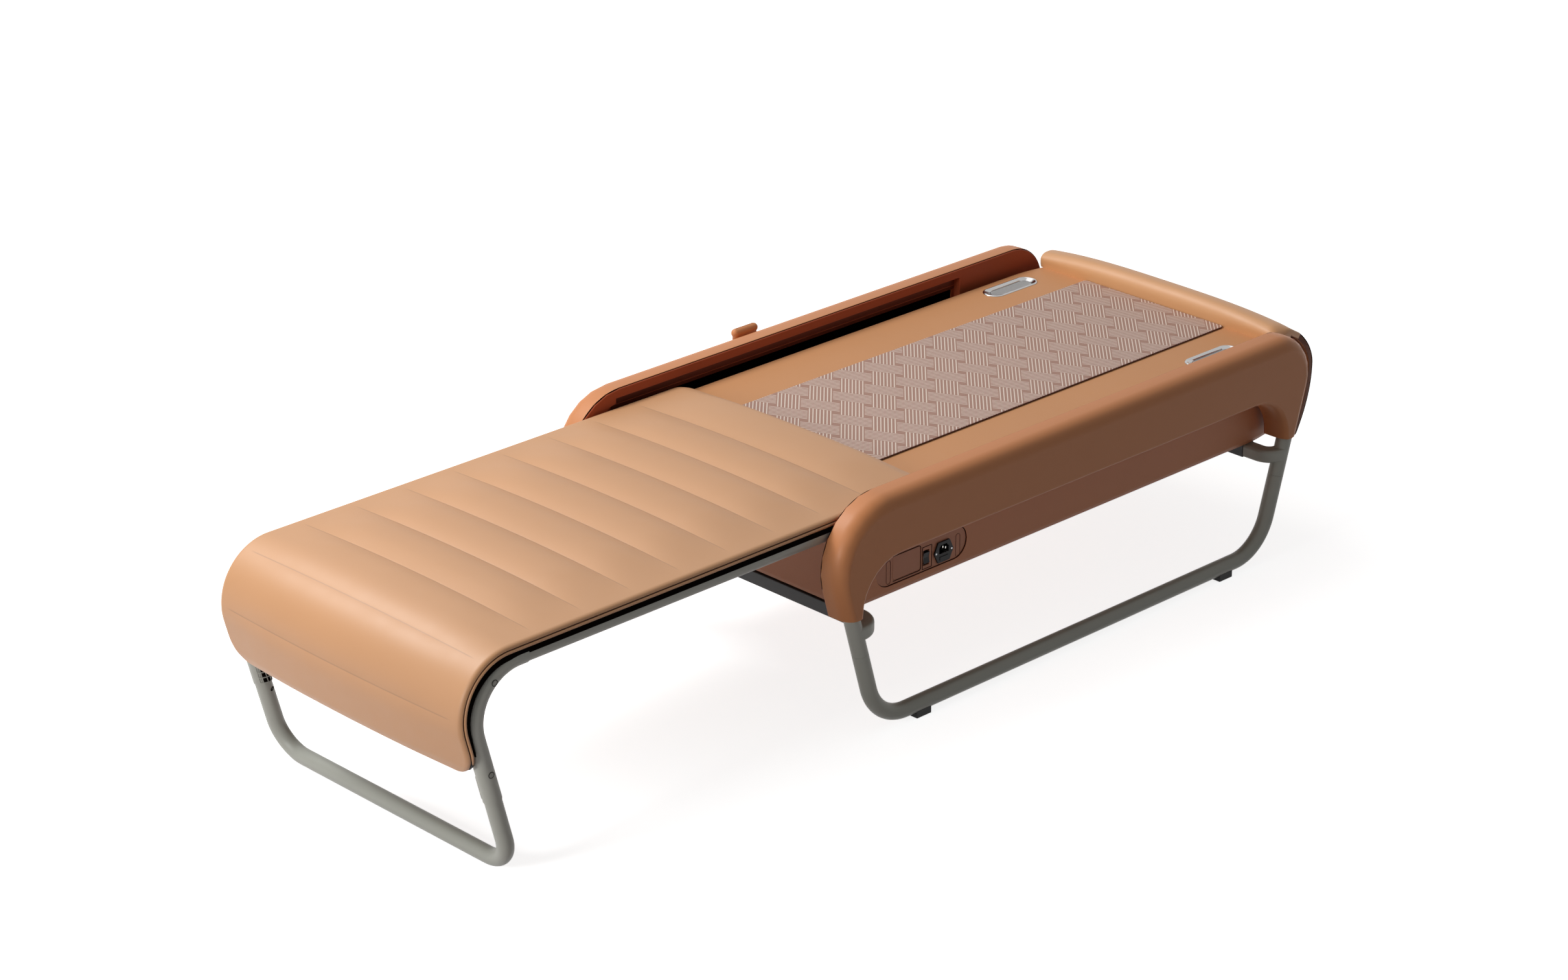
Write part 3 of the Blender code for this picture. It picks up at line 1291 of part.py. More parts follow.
def leg_clip(side):
    """Ribbed clip on the inner side of the leg, under the pad."""
    out = SIDES[side]
    middle = aux_leg_x(CLIP_LOW + CLIP_LENGTH / 2)
    inner = AUX_TUBE_OUT - AUX_SLEEVE_RADIUS - GAP
    edges = sorted((out * inner, out * (inner - CLIP_DEPTH)))
    low = (middle - CLIP_WIDTH / 2, edges[0], CLIP_LOW)
    high = (middle + CLIP_WIDTH / 2, edges[1], CLIP_LOW + CLIP_LENGTH)
    clip = block("leg_clip_" + side, low, high, "black_plastic")
    pitch_x = (CLIP_WIDTH - CLIP_WALL) / CLIP_COLUMNS
    pitch_z = (CLIP_LENGTH - CLIP_WALL) / CLIP_ROWS
    bm = bmesh.new()
    for row in range(CLIP_ROWS):
        for column in range(CLIP_COLUMNS):
            made = bmesh.ops.create_cube(bm, size=1)
            size = Vector((pitch_x - CLIP_WALL, CLIP_DEPTH, pitch_z - CLIP_WALL))
            x = low[0] + CLIP_WALL / 2 + pitch_x * (column + 0.5)
            z = CLIP_LOW + CLIP_WALL / 2 + pitch_z * (row + 0.5)
            bmesh.ops.scale(bm, verts=made["verts"], vec=size)
            bmesh.ops.translate(bm, verts=made["verts"], vec=Vector((x, out * (inner - CLIP_DEPTH), z)))
    return cut(clip, mesh_object("leg_clip_" + side + " cells", bm, None))


def slider_block(side):
    """Block on the tube's head end that runs in the slot of the inner cover."""
    name = "slider_block_" + side
    out = SIDES[side]
    low_z = LEDGE_TOP + GAP + RUNNER_HEIGHT + GAP
    start, end = -AUX_HEAD - BLOCK_LENGTH, -AUX_HEAD
    edges = sorted((out * BLOCK_IN, out * (COVER_IN - RUNNING_GAP)))
    body = block(name, (start, edges[0], low_z), (end, edges[1], BLOCK_TOP), "black_plastic")
    edges = sorted((out * AUX_TUBE_OUT, out * BLOCK_OUT))
    low, high = (start, edges[0], BLOCK_NECK_LOW), (end, edges[1], BLOCK_TOP)
    join(body, block(name + " tongue", low, high, None))
    bore_start = Vector((start - OVERRUN, out * AUX_TUBE_OUT, AUX_TUBE_HEIGHT))
    bore_end = Vector((-AUX_HEAD - AUX_TUBE_HEAD_IN + GAP, out * AUX_TUBE_OUT, AUX_TUBE_HEIGHT))
    return cut(body, rod(name + " bore", bore_start, bore_end, TUBE_RADIUS + GAP, None, 24))


def mat_line(level):
    """Path of the leg mat's edge line, raised outwards by this level, from head edge to foot edge."""
    rise = MAT_LINE_STAND + level * math.hypot(1, AUX_LEAN)

    def leg_x(height):
        return aux_leg_x(height) - rise

    top = MAT_LINE_HEIGHT + level
    return [
        (Vector((-AUX_HEAD, top)), 0),
        (Vector((leg_x(top), top)), MAT_LINE_BEND + level),
        (Vector((leg_x(MAT_LINE_END), MAT_LINE_END)), 0),
    ]


def path_length_table(points):
    lengths = [0.0]
    for start, end in zip(points, points[1:]):
        lengths.append(lengths[-1] + (end - start).length)
    return lengths


def on_path(points, lengths, distance):
    """Point and outward normal at a distance along the path."""
    distance = min(max(distance, 0), lengths[-1])
    index = 0
    while index < len(lengths) - 2 and lengths[index + 1] < distance:
        index += 1
    start, end = points[index], points[index + 1]
    share = (distance - lengths[index]) / (lengths[index + 1] - lengths[index])
    along = (end - start).normalized()
    return start.lerp(end, share), Vector((along.y, -along.x))


def fine_mat_line():
    points = bent_path(mat_line(0), MAT_ARC_STATIONS * MAT_ARC_STEPS)
    return points, path_length_table(points)


def arc_stations(lengths):
    """Distances along the mat's line at which every piece of it has a section in the bend."""
    return lengths[1:-1:MAT_ARC_STEPS]


def corner_width(half, corner, distance, total):
    """Half-width of a strip with rounded plan corners at a distance along it."""
    near_end = min(distance, total - distance)
    if near_end >= corner:
        return half
    return half - corner + math.sqrt(corner**2 - (corner - near_end) ** 2)


def mat_stations(lengths):
    """Distances along the leg mat at which its sections stand, close together at seams and ends."""
    total = lengths[-1]
    seams = mat_seams(total)
    fixed = arc_stations(lengths) + seams + [0, total]
    for share in END_STATION_SHARES:
        fixed += [PAD_CORNER * share, total - PAD_CORNER * share]
    stations = sorted(fixed)
    for start, end in zip([0] + seams, seams + [total]):
        for share in PAD_STATION_SHARES:
            spot = start + (end - start) * share
            if min(abs(spot - other) for other in stations) > STATION_MERGE * 3:
                stations.append(spot)
    kept = []
    for spot in sorted(stations):
        if kept and spot - kept[-1] < STATION_MERGE and spot != total:
            continue
        kept.append(spot)
    return kept


def mat_seams(total):
    count = int((total - PAD_FIRST_SEAM) / PAD_SEAM_PITCH)
    return [PAD_FIRST_SEAM + PAD_SEAM_PITCH * index for index in range(count + 1)]


def puff_at(distance, total):
    """Height of the padded channel between two seams, nil on a seam."""
    past = PAD_SEAM_PITCH * SEAM_PAST_END_SHARE
    marks = [-past] + mat_seams(total) + [total + past]
    for start, end in zip(marks, marks[1:]):
        if start <= distance <= end:
            share = 2 * (distance - start) / (end - start) - 1
            return PAD_PUFF * (1 - abs(share) ** 3)
    return 0


def aux_pad():
    """Channelled leg mat: crowned across, puffed between its seams, bent down over the foot end."""
    points, lengths = fine_mat_line()
    total = lengths[-1]
    side_level = BOARD_LEVEL + BOARD_THICKNESS + GAP
    raised_level = side_level + BOARD_RAISE * PAD_RAISE_SHARE
    rings = []
    for distance in mat_stations(lengths):
        spot, normal = on_path(points, lengths, distance)
        half = corner_width(PAD_HALF, PAD_CORNER, distance, total)
        near_end = min(distance, total - distance)
        rounded = min(1, math.sqrt(max(near_end, 0) / PAD_CORNER))
        fade = PAD_END_HEIGHT_SHARE + (1 - PAD_END_HEIGHT_SHARE) * rounded
        puff = puff_at(distance, total)
        section = []
        for share, height_share in zip(PAD_SIDE_SHARES, PAD_SIDE_HEIGHT_SHARES):
            crown = PAD_CROWN * (1 - share**2) + puff * min(1, (1 - share) / PAD_PUFF_FADE_SHARE)
            body = (PAD_EDGE_HEIGHT - side_level) * height_share
            section.append((share * half, side_level + (body + crown) * fade))
        middle = PAD_EDGE_HEIGHT - side_level + PAD_CROWN + puff
        top = section + [(0, side_level + middle * fade)]
        top += [(-u, v) for u, v in reversed(section)]
        inner = min(BOARD_RAISE_HALF, half * PAD_RAISE_SHARE)
        under = [
            (-half * PAD_UNDER_SHARE, side_level),
            (-inner - BOARD_RAISE, side_level),
            (-inner, raised_level),
            (inner, raised_level),
            (inner + BOARD_RAISE, side_level),
            (half * PAD_UNDER_SHARE, side_level),
        ]
        ring = []
        for across, level in top + under:
            place = spot + normal * level
            ring.append(Vector((place.x, across, place.y)))
        rings.append(ring)
    return loft("aux_pad", rings, "tan_leather")


def aux_base_board():
    """Black board under the pad, raised in the middle to clear the top mat, seated on the tubes."""
    points, lengths = fine_mat_line()
    total = lengths[-1]
    top = BOARD_LEVEL + BOARD_THICKNESS
    raised_top = top + BOARD_RAISE * BOARD_TOP_RAISE_SHARE
    section = [
        (BOARD_HALF, BOARD_SADDLE_LEVEL),
        (BOARD_HALF, top),
        (BOARD_RAISE_HALF + BOARD_RAISE / 2, top),
        (BOARD_RAISE_HALF - BOARD_RAISE / 2, raised_top),
        (0, raised_top),
    ]
    under = [
        (0, BOARD_LEVEL + BOARD_RAISE),
        (BOARD_RAISE_HALF - BOARD_RAISE / 2, BOARD_LEVEL + BOARD_RAISE),
        (BOARD_RAISE_HALF + BOARD_RAISE / 2, BOARD_LEVEL),
        (BOARD_SADDLE_IN, BOARD_LEVEL),
        (BOARD_SADDLE_IN, BOARD_SADDLE_LEVEL),
    ]
    ends = [BOARD_MARGIN + BOARD_CORNER * share for share in END_STATION_SHARES]
    saddle_start = BOARD_MARGIN + BOARD_CORNER * SADDLE_START_SHARE
    far_ends = [total - spot for spot in reversed(ends)]
    stations = ends + [saddle_start] + arc_stations(lengths) + far_ends
    full = section + [(-u, v) for u, v in reversed(section[:-1])]
    full += [(-u, v) for u, v in reversed(under[1:])] + under[1:]
    rings = []
    for distance in stations:
        spot, normal = on_path(points, lengths, distance)
        board_length = total - BOARD_MARGIN * 2
        half = corner_width(BOARD_HALF, BOARD_CORNER, distance - BOARD_MARGIN, board_length)
        ring = []
        for across, level in full:
            drawn_in = (BOARD_HALF - half) if abs(across) > BOARD_RAISE_HALF + BOARD_RAISE else 0
            if level == BOARD_SADDLE_LEVEL and distance < saddle_start:
                level = BOARD_LEVEL - GAP
            place = spot + normal * level
            ring.append(Vector((place.x, across - math.copysign(drawn_in, across), place.y)))
        rings.append(ring)
    return loft("aux_base_board", rings, "black_plastic")


def aux_piping():
    """Piping round the pad's side and foot edges."""
    points, lengths = fine_mat_line()
    total = lengths[-1]
    stations = [PAD_CORNER] + arc_stations(lengths) + [total - PAD_CORNER]
    side_run = []
    for distance in stations:
        spot, normal = on_path(points, lengths, distance)
        place = spot + normal * PIPING_LEVEL
        side_run.append(Vector((place.x, -PIPING_OUT, place.y)))
    foot, normal = on_path(points, lengths, total - PIPING_RADIUS)
    foot += normal * PIPING_LEVEL
    corner = Vector((foot.x, -PIPING_OUT, foot.y))
    across = Vector((foot.x, PIPING_OUT, foot.y))
    bend = round_corner(side_run[-2], corner, across, PIPING_CORNER, 4)
    near = side_run[:-1] + bend
    far = [Vector((point.x, -point.y, point.z)) for point in reversed(near)]
    return tube("aux_piping", near + far, PIPING_RADIUS, "tan_leather", 1)


def carriage_rail(side):
    """Round guide rod along the tub for the massage carriage."""
    out = SIDES[side] * ROD_OUT
    start = Vector((-BOX_FOOT + BOX_WALL + GAP, out, ROD_HEIGHT))
    end = Vector((BOX_HEAD - BOX_WALL - GAP, out, ROD_HEIGHT))
    return rod("carriage_rail_" + side, start, end, ROD_RADIUS, "steel", 12)


def massage_carriage():
    """Plate on four bushes round the rods, with two guide pins for the lift frame and a belt clamp."""
    low_z = ROD_HEIGHT + BUSH_SIDE / 2
    half = CARRIAGE_LENGTH / 2
    low = (-half, -CARRIAGE_HALF_WIDTH, low_z - CARRIAGE_PLATE)
    high = (half, CARRIAGE_HALF_WIDTH, low_z)
    plate = block("massage_carriage", low, high, "steel")
    for side in SIDES:
        for end in ENDS:
            middle = Vector((ENDS[end] * (half - BUSH_LENGTH / 2), SIDES[side] * ROD_OUT, ROD_HEIGHT))
            span = Vector((BUSH_LENGTH / 2, BUSH_SIDE / 2, BUSH_SIDE / 2 - GAP))
            join(plate, block("bush", middle - span, middle + span, None))
    for end in ENDS:
        foot = Vector((ENDS[end] * GUIDE_OUT, 0, low_z - CARRIAGE_PLATE / 2))
        join(plate, rod("guide pin", foot, foot + Vector((0, 0, GUIDE_LENGTH)), GUIDE_RADIUS, None, 12))
    belt_top = PULLEY_HEIGHT + PULLEY_RADIUS + BELT_THICKNESS
    clamp_low = (-CLAMP_LENGTH / 2, -CLAMP_WIDTH / 2, belt_top + GAP)
    clamp_high = (CLAMP_LENGTH / 2, CLAMP_WIDTH / 2, low_z - CARRIAGE_PLATE / 2)
    join(plate, block("belt clamp", clamp_low, clamp_high, None))
    for side in SIDES:
        out = SIDES[side] * ROD_OUT
        start = Vector((-half - OVERRUN, out, ROD_HEIGHT))
        end = Vector((half + OVERRUN, out, ROD_HEIGHT))
        cut(plate, rod("rod bore", start, end, ROD_RADIUS + GAP, None, 12))
    return plate


def lift_frame():
    """Channel that rides on the guide pins and carries both roller axles in its side plates."""
    half = LIFT_LENGTH / 2
    top = ROLLER_HEIGHT + AXLE_RADIUS * 2
    low = (-half, -LIFT_HALF_WIDTH, LIFT_FLOOR)
    high = (half, LIFT_HALF_WIDTH, LIFT_FLOOR + LIFT_WALL)
    frame = block("lift_frame", low, high, "steel")
    for side in SIDES:
        out = SIDES[side]
        edges = sorted((out * LIFT_HALF_WIDTH, out * (LIFT_HALF_WIDTH - LIFT_WALL)))
        low, high = (-half, edges[0], LIFT_FLOOR), (half, edges[1], top)
        join(frame, block("side plate", low, high, None))
    for end in ENDS:
        pin = Vector((ENDS[end] * GUIDE_OUT, 0, LIFT_FLOOR - OVERRUN))
        rise = Vector((0, 0, LIFT_WALL + OVERRUN * 2))
        cut(frame, rod("pin hole", pin, pin + rise, GUIDE_RADIUS + GAP, None, 12))
        axle = Vector((ENDS[end] * AXLE_X, -LIFT_HALF_WIDTH - OVERRUN, ROLLER_HEIGHT))
        across = Vector((0, 2 * (LIFT_HALF_WIDTH + OVERRUN), 0))
        cut(frame, rod("axle hole", axle, axle + across, AXLE_RADIUS + GAP, None, 12))
    return frame


def roller_pair(end):
    """Two barrel-shaped heated rollers on one axle, turned in one piece."""
    tip = LIFT_HALF_WIDTH + GAP
    profile = [(0, tip), (AXLE_RADIUS, tip)]
    for side in (1, -1):
        bulge = []
        for step in range(5):
            share = step / 2 - 1
            place = side * ROLLER_OUT - share * ROLLER_HALF_LENGTH
            radius = ROLLER_RADIUS * math.sqrt(1 - (ROLLER_BARREL_SHARE * share) ** 2)
            bulge.append((radius, place))
        edge = ROLLER_HALF_LENGTH
        profile.append((AXLE_RADIUS, side * ROLLER_OUT + edge))
        profile += bulge
        profile.append((AXLE_RADIUS, side * ROLLER_OUT - edge))
    profile += [(AXLE_RADIUS, -tip), (0, -tip)]
    pair = turned("roller_pair_" + end, profile, "roller_stone", ROLLER_STEPS)
    pair.location = (ENDS[end] * AXLE_X, 0, ROLLER_HEIGHT)
    return pair


def pulley(name, middle_x):
    """Flanged belt pulley, turned, with a bore for its shaft."""
    half = PULLEY_WIDTH / 2
    rim = half - FLANGE_WIDTH
    bore = SHAFT_RADIUS + GAP
    profile = [
        (bore, half),
        (FLANGE_RADIUS, half),
        (FLANGE_RADIUS, rim),
        (PULLEY_RADIUS - GAP, rim),
        (PULLEY_RADIUS - GAP, -rim),
        (FLANGE_RADIUS, -rim),
        (FLANGE_RADIUS, -half),
        (bore, -half),
        (bore, half),
    ]
    made = turned(name, profile, "steel", PULLEY_STEPS)
    made.location = (middle_x, 0, PULLEY_HEIGHT)
    return made


def belt_outline(radius):
    """Long loop round both pulleys."""
    low, high = PULLEY_HEIGHT - radius, PULLEY_HEIGHT + radius
    return rectangle(IDLER_X - radius, DRIVE_X + radius, low, high, radius * ROUND_END_SHARE)


def drive_belt():
    """Flat belt round the two pulleys."""
    inner, outer = PULLEY_RADIUS, PULLEY_RADIUS + BELT_THICKNESS
    half = BELT_WIDTH / 2
    levels = ((outer, -half), (outer, half), (inner, half), (inner, -half))
    rings = [lay(outline(belt_outline(radius), 6), "Y", height) for radius, height in levels]
    return loft("drive_belt", rings, "black_rubber", closed=True)


def drive_motor():
    """Gear motor on its bracket, with the shaft that carries the drive pulley."""
    centre = Vector((DRIVE_X, MOTOR_Y, PULLEY_HEIGHT))
    across = Vector((0, 1, 0))
    back = centre + across * (GEARBOX_LENGTH + MOTOR_LENGTH)
    motor = rod("drive_motor", centre, back, MOTOR_RADIUS, "black_plastic", 24)
    shaft_start = centre - across * (MOTOR_Y + PULLEY_WIDTH / 2 + OVERRUN)
    join(motor, rod("motor shaft", shaft_start, centre + across * OVERRUN, SHAFT_RADIUS, None, 12))
    low = (DRIVE_X - BRACKET_WIDTH, MOTOR_Y + GEARBOX_LENGTH, PAN_TOP)
    bracket_back = MOTOR_Y + GEARBOX_LENGTH + BRACKET_THICKNESS * 2
    high = (DRIVE_X + BRACKET_WIDTH, bracket_back, PULLEY_HEIGHT)
    join(motor, block("motor bracket", low, high, None))
    return motor


def idler_bracket():
    """Fork that carries the idler pulley on the base pan."""
    half = BRACKET_WIDTH / 2
    inner = PULLEY_WIDTH / 2 + RUNNING_GAP
    outer = inner + BRACKET_THICKNESS
    low = (IDLER_X - half, -outer, PAN_TOP)
    high = (IDLER_X + half, outer, PAN_TOP + BRACKET_THICKNESS)
    fork = block("idler_bracket", low, high, "steel")
    top = PULLEY_HEIGHT + SHAFT_RADIUS * 2
    for side in SIDES:
        edges = sorted((SIDES[side] * inner, SIDES[side] * outer))
        low, high = (IDLER_X - half, edges[0], PAN_TOP), (IDLER_X + half, edges[1], top)
        join(fork, block("fork ear", low, high, None))
    start, end = Vector((IDLER_X, -outer, PULLEY_HEIGHT)), Vector((IDLER_X, outer, PULLEY_HEIGHT))
    return join(fork, rod("idler pin", start, end, SHAFT_RADIUS, None, 12))


def power_supply():
    """Closed power supply on the base pan behind the inlet."""
    length, width, height = SUPPLY_SIZE
    x, y = SUPPLY_PLACE
    low = (x - length / 2, y - width / 2, PAN_TOP)
    high = (x + length / 2, y + width / 2, PAN_TOP + height)
    return block("power_supply", low, high, "steel", BELT_THICKNESS)


def control_board():
    """Circuit board on four standoffs, with its main chip."""
    length, width, thickness = BOARD_SIZE
    x, y = BOARD_PLACE
    low_z = PAN_TOP + STANDOFF_HEIGHT
    low = (x - length / 2, y - width / 2, low_z)
    high = (x + length / 2, y + width / 2, low_z + thickness)
    board = block("control_board", low, high, "board_green")
    for along in (-1, 1):
        for across in (-1, 1):
            foot_x = x + along * (length / 2 - STANDOFF_RADIUS * 2)
            foot_y = y + across * (width / 2 - STANDOFF_RADIUS * 2)
            foot = Vector((foot_x, foot_y, PAN_TOP))
            top = foot + Vector((0, 0, STANDOFF_HEIGHT + thickness / 2))
            join(board, rod("standoff", foot, top, STANDOFF_RADIUS, None, 8))
    chip = [size / 2 for size in CHIP_SIZE[:2]]
    chip_low = (x - chip[0], y - chip[1], low_z + thickness / 2)
    return join(board, block("chip", chip_low, (x + chip[0], y + chip[1], low_z + CHIP_SIZE[2]), None))


def place_on_origin():
    """Moves the bed so that the origin lies under the middle of its outer box."""
    points, lengths = fine_mat_line()
    crown = PAD_EDGE_HEIGHT + PAD_CROWN
    foot_end = 0
    for distance in mat_stations(lengths):
        spot, normal = on_path(points, lengths, distance)
        reach = spot + normal * (crown + puff_at(distance, lengths[-1]))
        foot_end = min(foot_end, reach.x)
    far_out = PANEL_OUT + GAP + HOLDER_DEPTH
    origin = bpy.data.objects.new("bed_origin", None)
    collection("thermal_massage_bed").objects.link(origin)
    for obj in list(bpy.data.objects):
        if obj is not origin and obj.parent is None:
            obj.parent = origin
    origin.location = (-(foot_end + HEAD_PAD_OUT) / 2, -(far_out - PANEL_OUT) / 2, 0)


def build():
    for obj in list(bpy.data.objects):
        bpy.data.objects.remove(obj)
    for side in SIDES:
        leg_loop(side)
        side_panel(side)
        inner_cover(side)
        slide_rail(side)
        speaker_bezel(side)
        speaker_grille(side)
        carriage_rail(side)
        aux_frame_tube(side)
        aux_tube_bend(side)
        slider_block(side)
        leg_clip(side)
        for end in ENDS:
            leg_post(end, side)
            foot_pad(end, side)
    for end in ENDS:
        cross_beam(end)
        roller_pair(end)
    main_box_shell()
    base_pan()
    top_deck()
    top_mat()
    head_end_pad()
    head_pad_backing()
    power_plate()
    service_cover()
    rocker_switch()
    power_inlet()
    fuse_drawer()
    remote_holder()
    aux_pad()
    aux_base_board()
    aux_piping()
    aux_foot_leg()
    massage_carriage()
    lift_frame()
    pulley("drive_pulley", DRIVE_X)
    pulley("idler_pulley", IDLER_X)
    drive_belt()
    drive_motor()
    idler_bracket()
    power_supply()
    control_board()
    place_on_origin()


build()
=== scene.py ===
import json
import math

import bmesh
import bpy
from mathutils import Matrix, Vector

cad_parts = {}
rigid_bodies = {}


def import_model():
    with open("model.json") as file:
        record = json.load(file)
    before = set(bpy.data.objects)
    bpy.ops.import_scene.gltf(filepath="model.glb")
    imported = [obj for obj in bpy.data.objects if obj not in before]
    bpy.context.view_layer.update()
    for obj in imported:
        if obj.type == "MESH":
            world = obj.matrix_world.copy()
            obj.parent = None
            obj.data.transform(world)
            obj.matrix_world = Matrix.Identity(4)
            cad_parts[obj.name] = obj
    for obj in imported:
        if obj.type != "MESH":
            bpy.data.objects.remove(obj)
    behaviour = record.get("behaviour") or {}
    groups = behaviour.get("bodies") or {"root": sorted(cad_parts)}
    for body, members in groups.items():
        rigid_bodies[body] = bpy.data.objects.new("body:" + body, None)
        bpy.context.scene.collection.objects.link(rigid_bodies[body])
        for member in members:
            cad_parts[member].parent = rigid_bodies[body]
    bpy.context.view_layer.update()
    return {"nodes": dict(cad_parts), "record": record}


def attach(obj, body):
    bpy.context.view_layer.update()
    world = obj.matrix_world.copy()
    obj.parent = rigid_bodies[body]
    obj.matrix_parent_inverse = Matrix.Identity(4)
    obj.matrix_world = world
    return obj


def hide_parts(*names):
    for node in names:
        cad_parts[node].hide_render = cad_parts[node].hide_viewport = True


for leftover in list(bpy.data.objects):
    bpy.data.objects.remove(leftover)
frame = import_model()
nodes = frame["nodes"]
record = frame["record"]
bodyOf = {node: body for body, group in record["behaviour"]["bodies"].items() for node in group}
slotOf = {part["node"]: part["material_slot"] for part in record["subparts"]}
sides = {"near": -1, "far": 1}
ends = {"foot": -1, "head": 1}
# places below start from the middle of the side panels; this moves them to the middle of the whole bed
bedShift = Vector((0.34256, -0.0064, 0))
print("frame loaded:", len(nodes), "nodes")


# shaders
class Wire:
    # an output socket; sums on it add Math nodes
    def __init__(self, board, socket):
        self.board = board
        self.socket = socket

    def math(self, operation, *others):
        return self.board.math(operation, self, *others)

    def __add__(self, other):
        return self.math("ADD", other)

    def __sub__(self, other):
        return self.math("SUBTRACT", other)

    def __rsub__(self, other):
        return self.board.math("SUBTRACT", other, self)

    def __mul__(self, other):
        return self.math("MULTIPLY", other)

    def __lt__(self, other):
        return self.math("LESS_THAN", other)

    def __gt__(self, other):
        return self.math("GREATER_THAN", other)

    __radd__ = __add__
    __rmul__ = __mul__


class Board:
    # the nodes of a material or of the world
    def __init__(self, tree):
        self.tree = tree

    def feed(self, socket, value):
        if isinstance(value, Wire):
            self.tree.links.new(value.socket, socket)
        else:
            socket.default_value = value

    def make(self, kind, settings=None, values=None, output=0):
        node = self.tree.nodes.new(kind)
        for key, value in (settings or {}).items():
            setattr(node, key, value)
        for key, value in (values or {}).items():
            self.feed(node.inputs[key], value)
        return Wire(self, node.outputs[output])

    def math(self, operation, *values):
        return self.make("ShaderNodeMath", {"operation": operation}, dict(enumerate(values)))

    def mix(self, share, low, high):
        return self.make("ShaderNodeMix", {"data_type": "RGBA"}, {0: share, 6: low, 7: high}, 2)

    def seen(self):
        # 1 where the camera, a reflection or a clear pane looks at the background
        rays = [self.make("ShaderNodeLightPath", output=name) for name in backgroundRays]
        return sum(rays[1:], rays[0]).math("MINIMUM", 1)


class Finish(Board):
    # one material, with patterns in the piece's own coordinates
    def __init__(self, name, **numbers):
        self.material = bpy.data.materials.new(name)
        self.material.use_nodes = True
        super().__init__(self.material.node_tree)
        self.shader = self.tree.nodes["Principled BSDF"]
        self.place = self.make("ShaderNodeTexCoord", output="Object")
        for key, value in numbers.items():
            self.shader.inputs[key.replace("_", " ")].default_value = value

    def set(self, name, value):
        self.feed(self.shader.inputs[name], value)

    def axis(self, letter, place):
        return self.make("ShaderNodeSeparateXYZ", None, {0: place}, letter)

    def turned(self, angle, scale):
        values = {"Vector": self.place, "Rotation": (0, 0, angle), "Scale": scale}
        return self.make("ShaderNodeMapping", None, values)

    def noise(self, scale, detail, place=None):
        values = {"Vector": place or self.place, "Scale": scale, "Detail": detail}
        return self.make("ShaderNodeTexNoise", None, values)

    def cells(self, scale):
        values = {"Vector": self.place, "Scale": scale}
        return self.make("ShaderNodeTexVoronoi", {"feature": "DISTANCE_TO_EDGE"}, values)

    def tones(self, colour, factors, share):
        dark, light = factors
        return self.mix(share, shadeOf(colour, dark), shadeOf(colour, light))

    def rough(self, middle, spread, share):
        self.set("Roughness", middle - spread / 2 + share * spread)

    def bump(self, height, distance, strength):
        values = {"Height": height, "Distance": distance, "Strength": strength}
        self.set("Normal", self.make("ShaderNodeBump", None, values))


backgroundRays = ("Is Camera Ray", "Is Glossy Ray", "Is Transmission Ray")
leather = {
    "colour": (0.60, 0.285, 0.125),
    "tones": (0.93, 1.06),
    "cloud": 3.2,
    "pore": 1500,
    "wear": 26,
    "relief": (0.7, 0.5),
    "bump": (0.0004, 0.16),
    "roughness": 0.52,
    "spread": 0.08,
    # strength and tone of the painted shade in the seams' creases
    "seam": 0.42,
    "seamTone": 0.3,
}
plastic = {"tones": (0.95, 1.05), "spread": 0.08, "bump": (0.00015, 0.25)}
paint = {
    "tones": (0.92, 1.08),
    "speck": 1800,
    "cloud": 8,
    "spread": 0.1,
    "gloss": 0.4,
    "bump": (0.00012, 0.2),
}
metal = {"tones": (0.93, 1.05), "cloud": 60, "streak": 420, "spread": 0.06}
cloth = {
    "base": (0.34, 0.18, 0.13),
    "line": (0.76, 0.64, 0.55),
    "cell": 0.048,
    "band": 0.36,
    "gap": 0.03,
    "lines": 9,
    "width": 0.15,
    "turn": 0.95,
    "tilt": 0.72,
    "tones": (0.9, 1.1),
    "thread": 1300,
    "cloud": 9,
    "roughness": 0.62,
    "lineGloss": 0.12,
    "relief": (0.6, 0.4),
    "bump": (0.00022, 0.4),
}


def shadeOf(colour, factor):
    return (*[min(part * factor, 1) for part in colour], 1)


def leatherLook(name, gloss, sheen=0.06, pebble=520, seam=None, colour=leather["colour"]):
    finish = Finish(name, Sheen_Weight=sheen, Sheen_Roughness=0.5, Specular_IOR_Level=gloss)
    tan = finish.tones(colour, leather["tones"], finish.noise(leather["cloud"], 3))
    if seam:
        share = finish.make("ShaderNodeAttribute", {"attribute_name": seam}, output="Fac")
        # painted shade: the leather is darkened along the seams' creases by the seam attribute
        tan = finish.mix(share * leather["seam"], tan, shadeOf(colour, leather["seamTone"]))
    finish.set("Base Color", tan)
    pores, wear = finish.noise(leather["pore"], 2), finish.noise(leather["wear"], 4)
    finish.rough(leather["roughness"], leather["spread"], wear)
    coarse, fine = leather["relief"]
    finish.bump(finish.cells(pebble) * coarse + (pores + wear) * fine, *leather["bump"])
    return finish.material


def plasticLook(name, colour, grain=1300, cloud=5, roughness=0.5, gloss=0.5, coat=0.0):
    finish = Finish(name, Coat_Weight=coat, Coat_Roughness=0.12, Specular_IOR_Level=gloss)
    finish.set("Base Color", finish.tones(colour, plastic["tones"], finish.noise(cloud, 3)))
    grains = finish.noise(grain, 2)
    finish.rough(roughness, plastic["spread"], grains)
    finish.bump(grains, *plastic["bump"])
    return finish.material


def paintLook(name, colour, roughness):
    finish = Finish(name, Specular_IOR_Level=paint["gloss"])
    speck = finish.noise(paint["speck"], 1)
    tone = (speck + finish.noise(paint["cloud"], 2)) * 0.5
    finish.set("Base Color", finish.tones(colour, paint["tones"], tone))
    finish.rough(roughness, paint["spread"], speck)
    finish.bump(speck, *paint["bump"])
    return finish.material


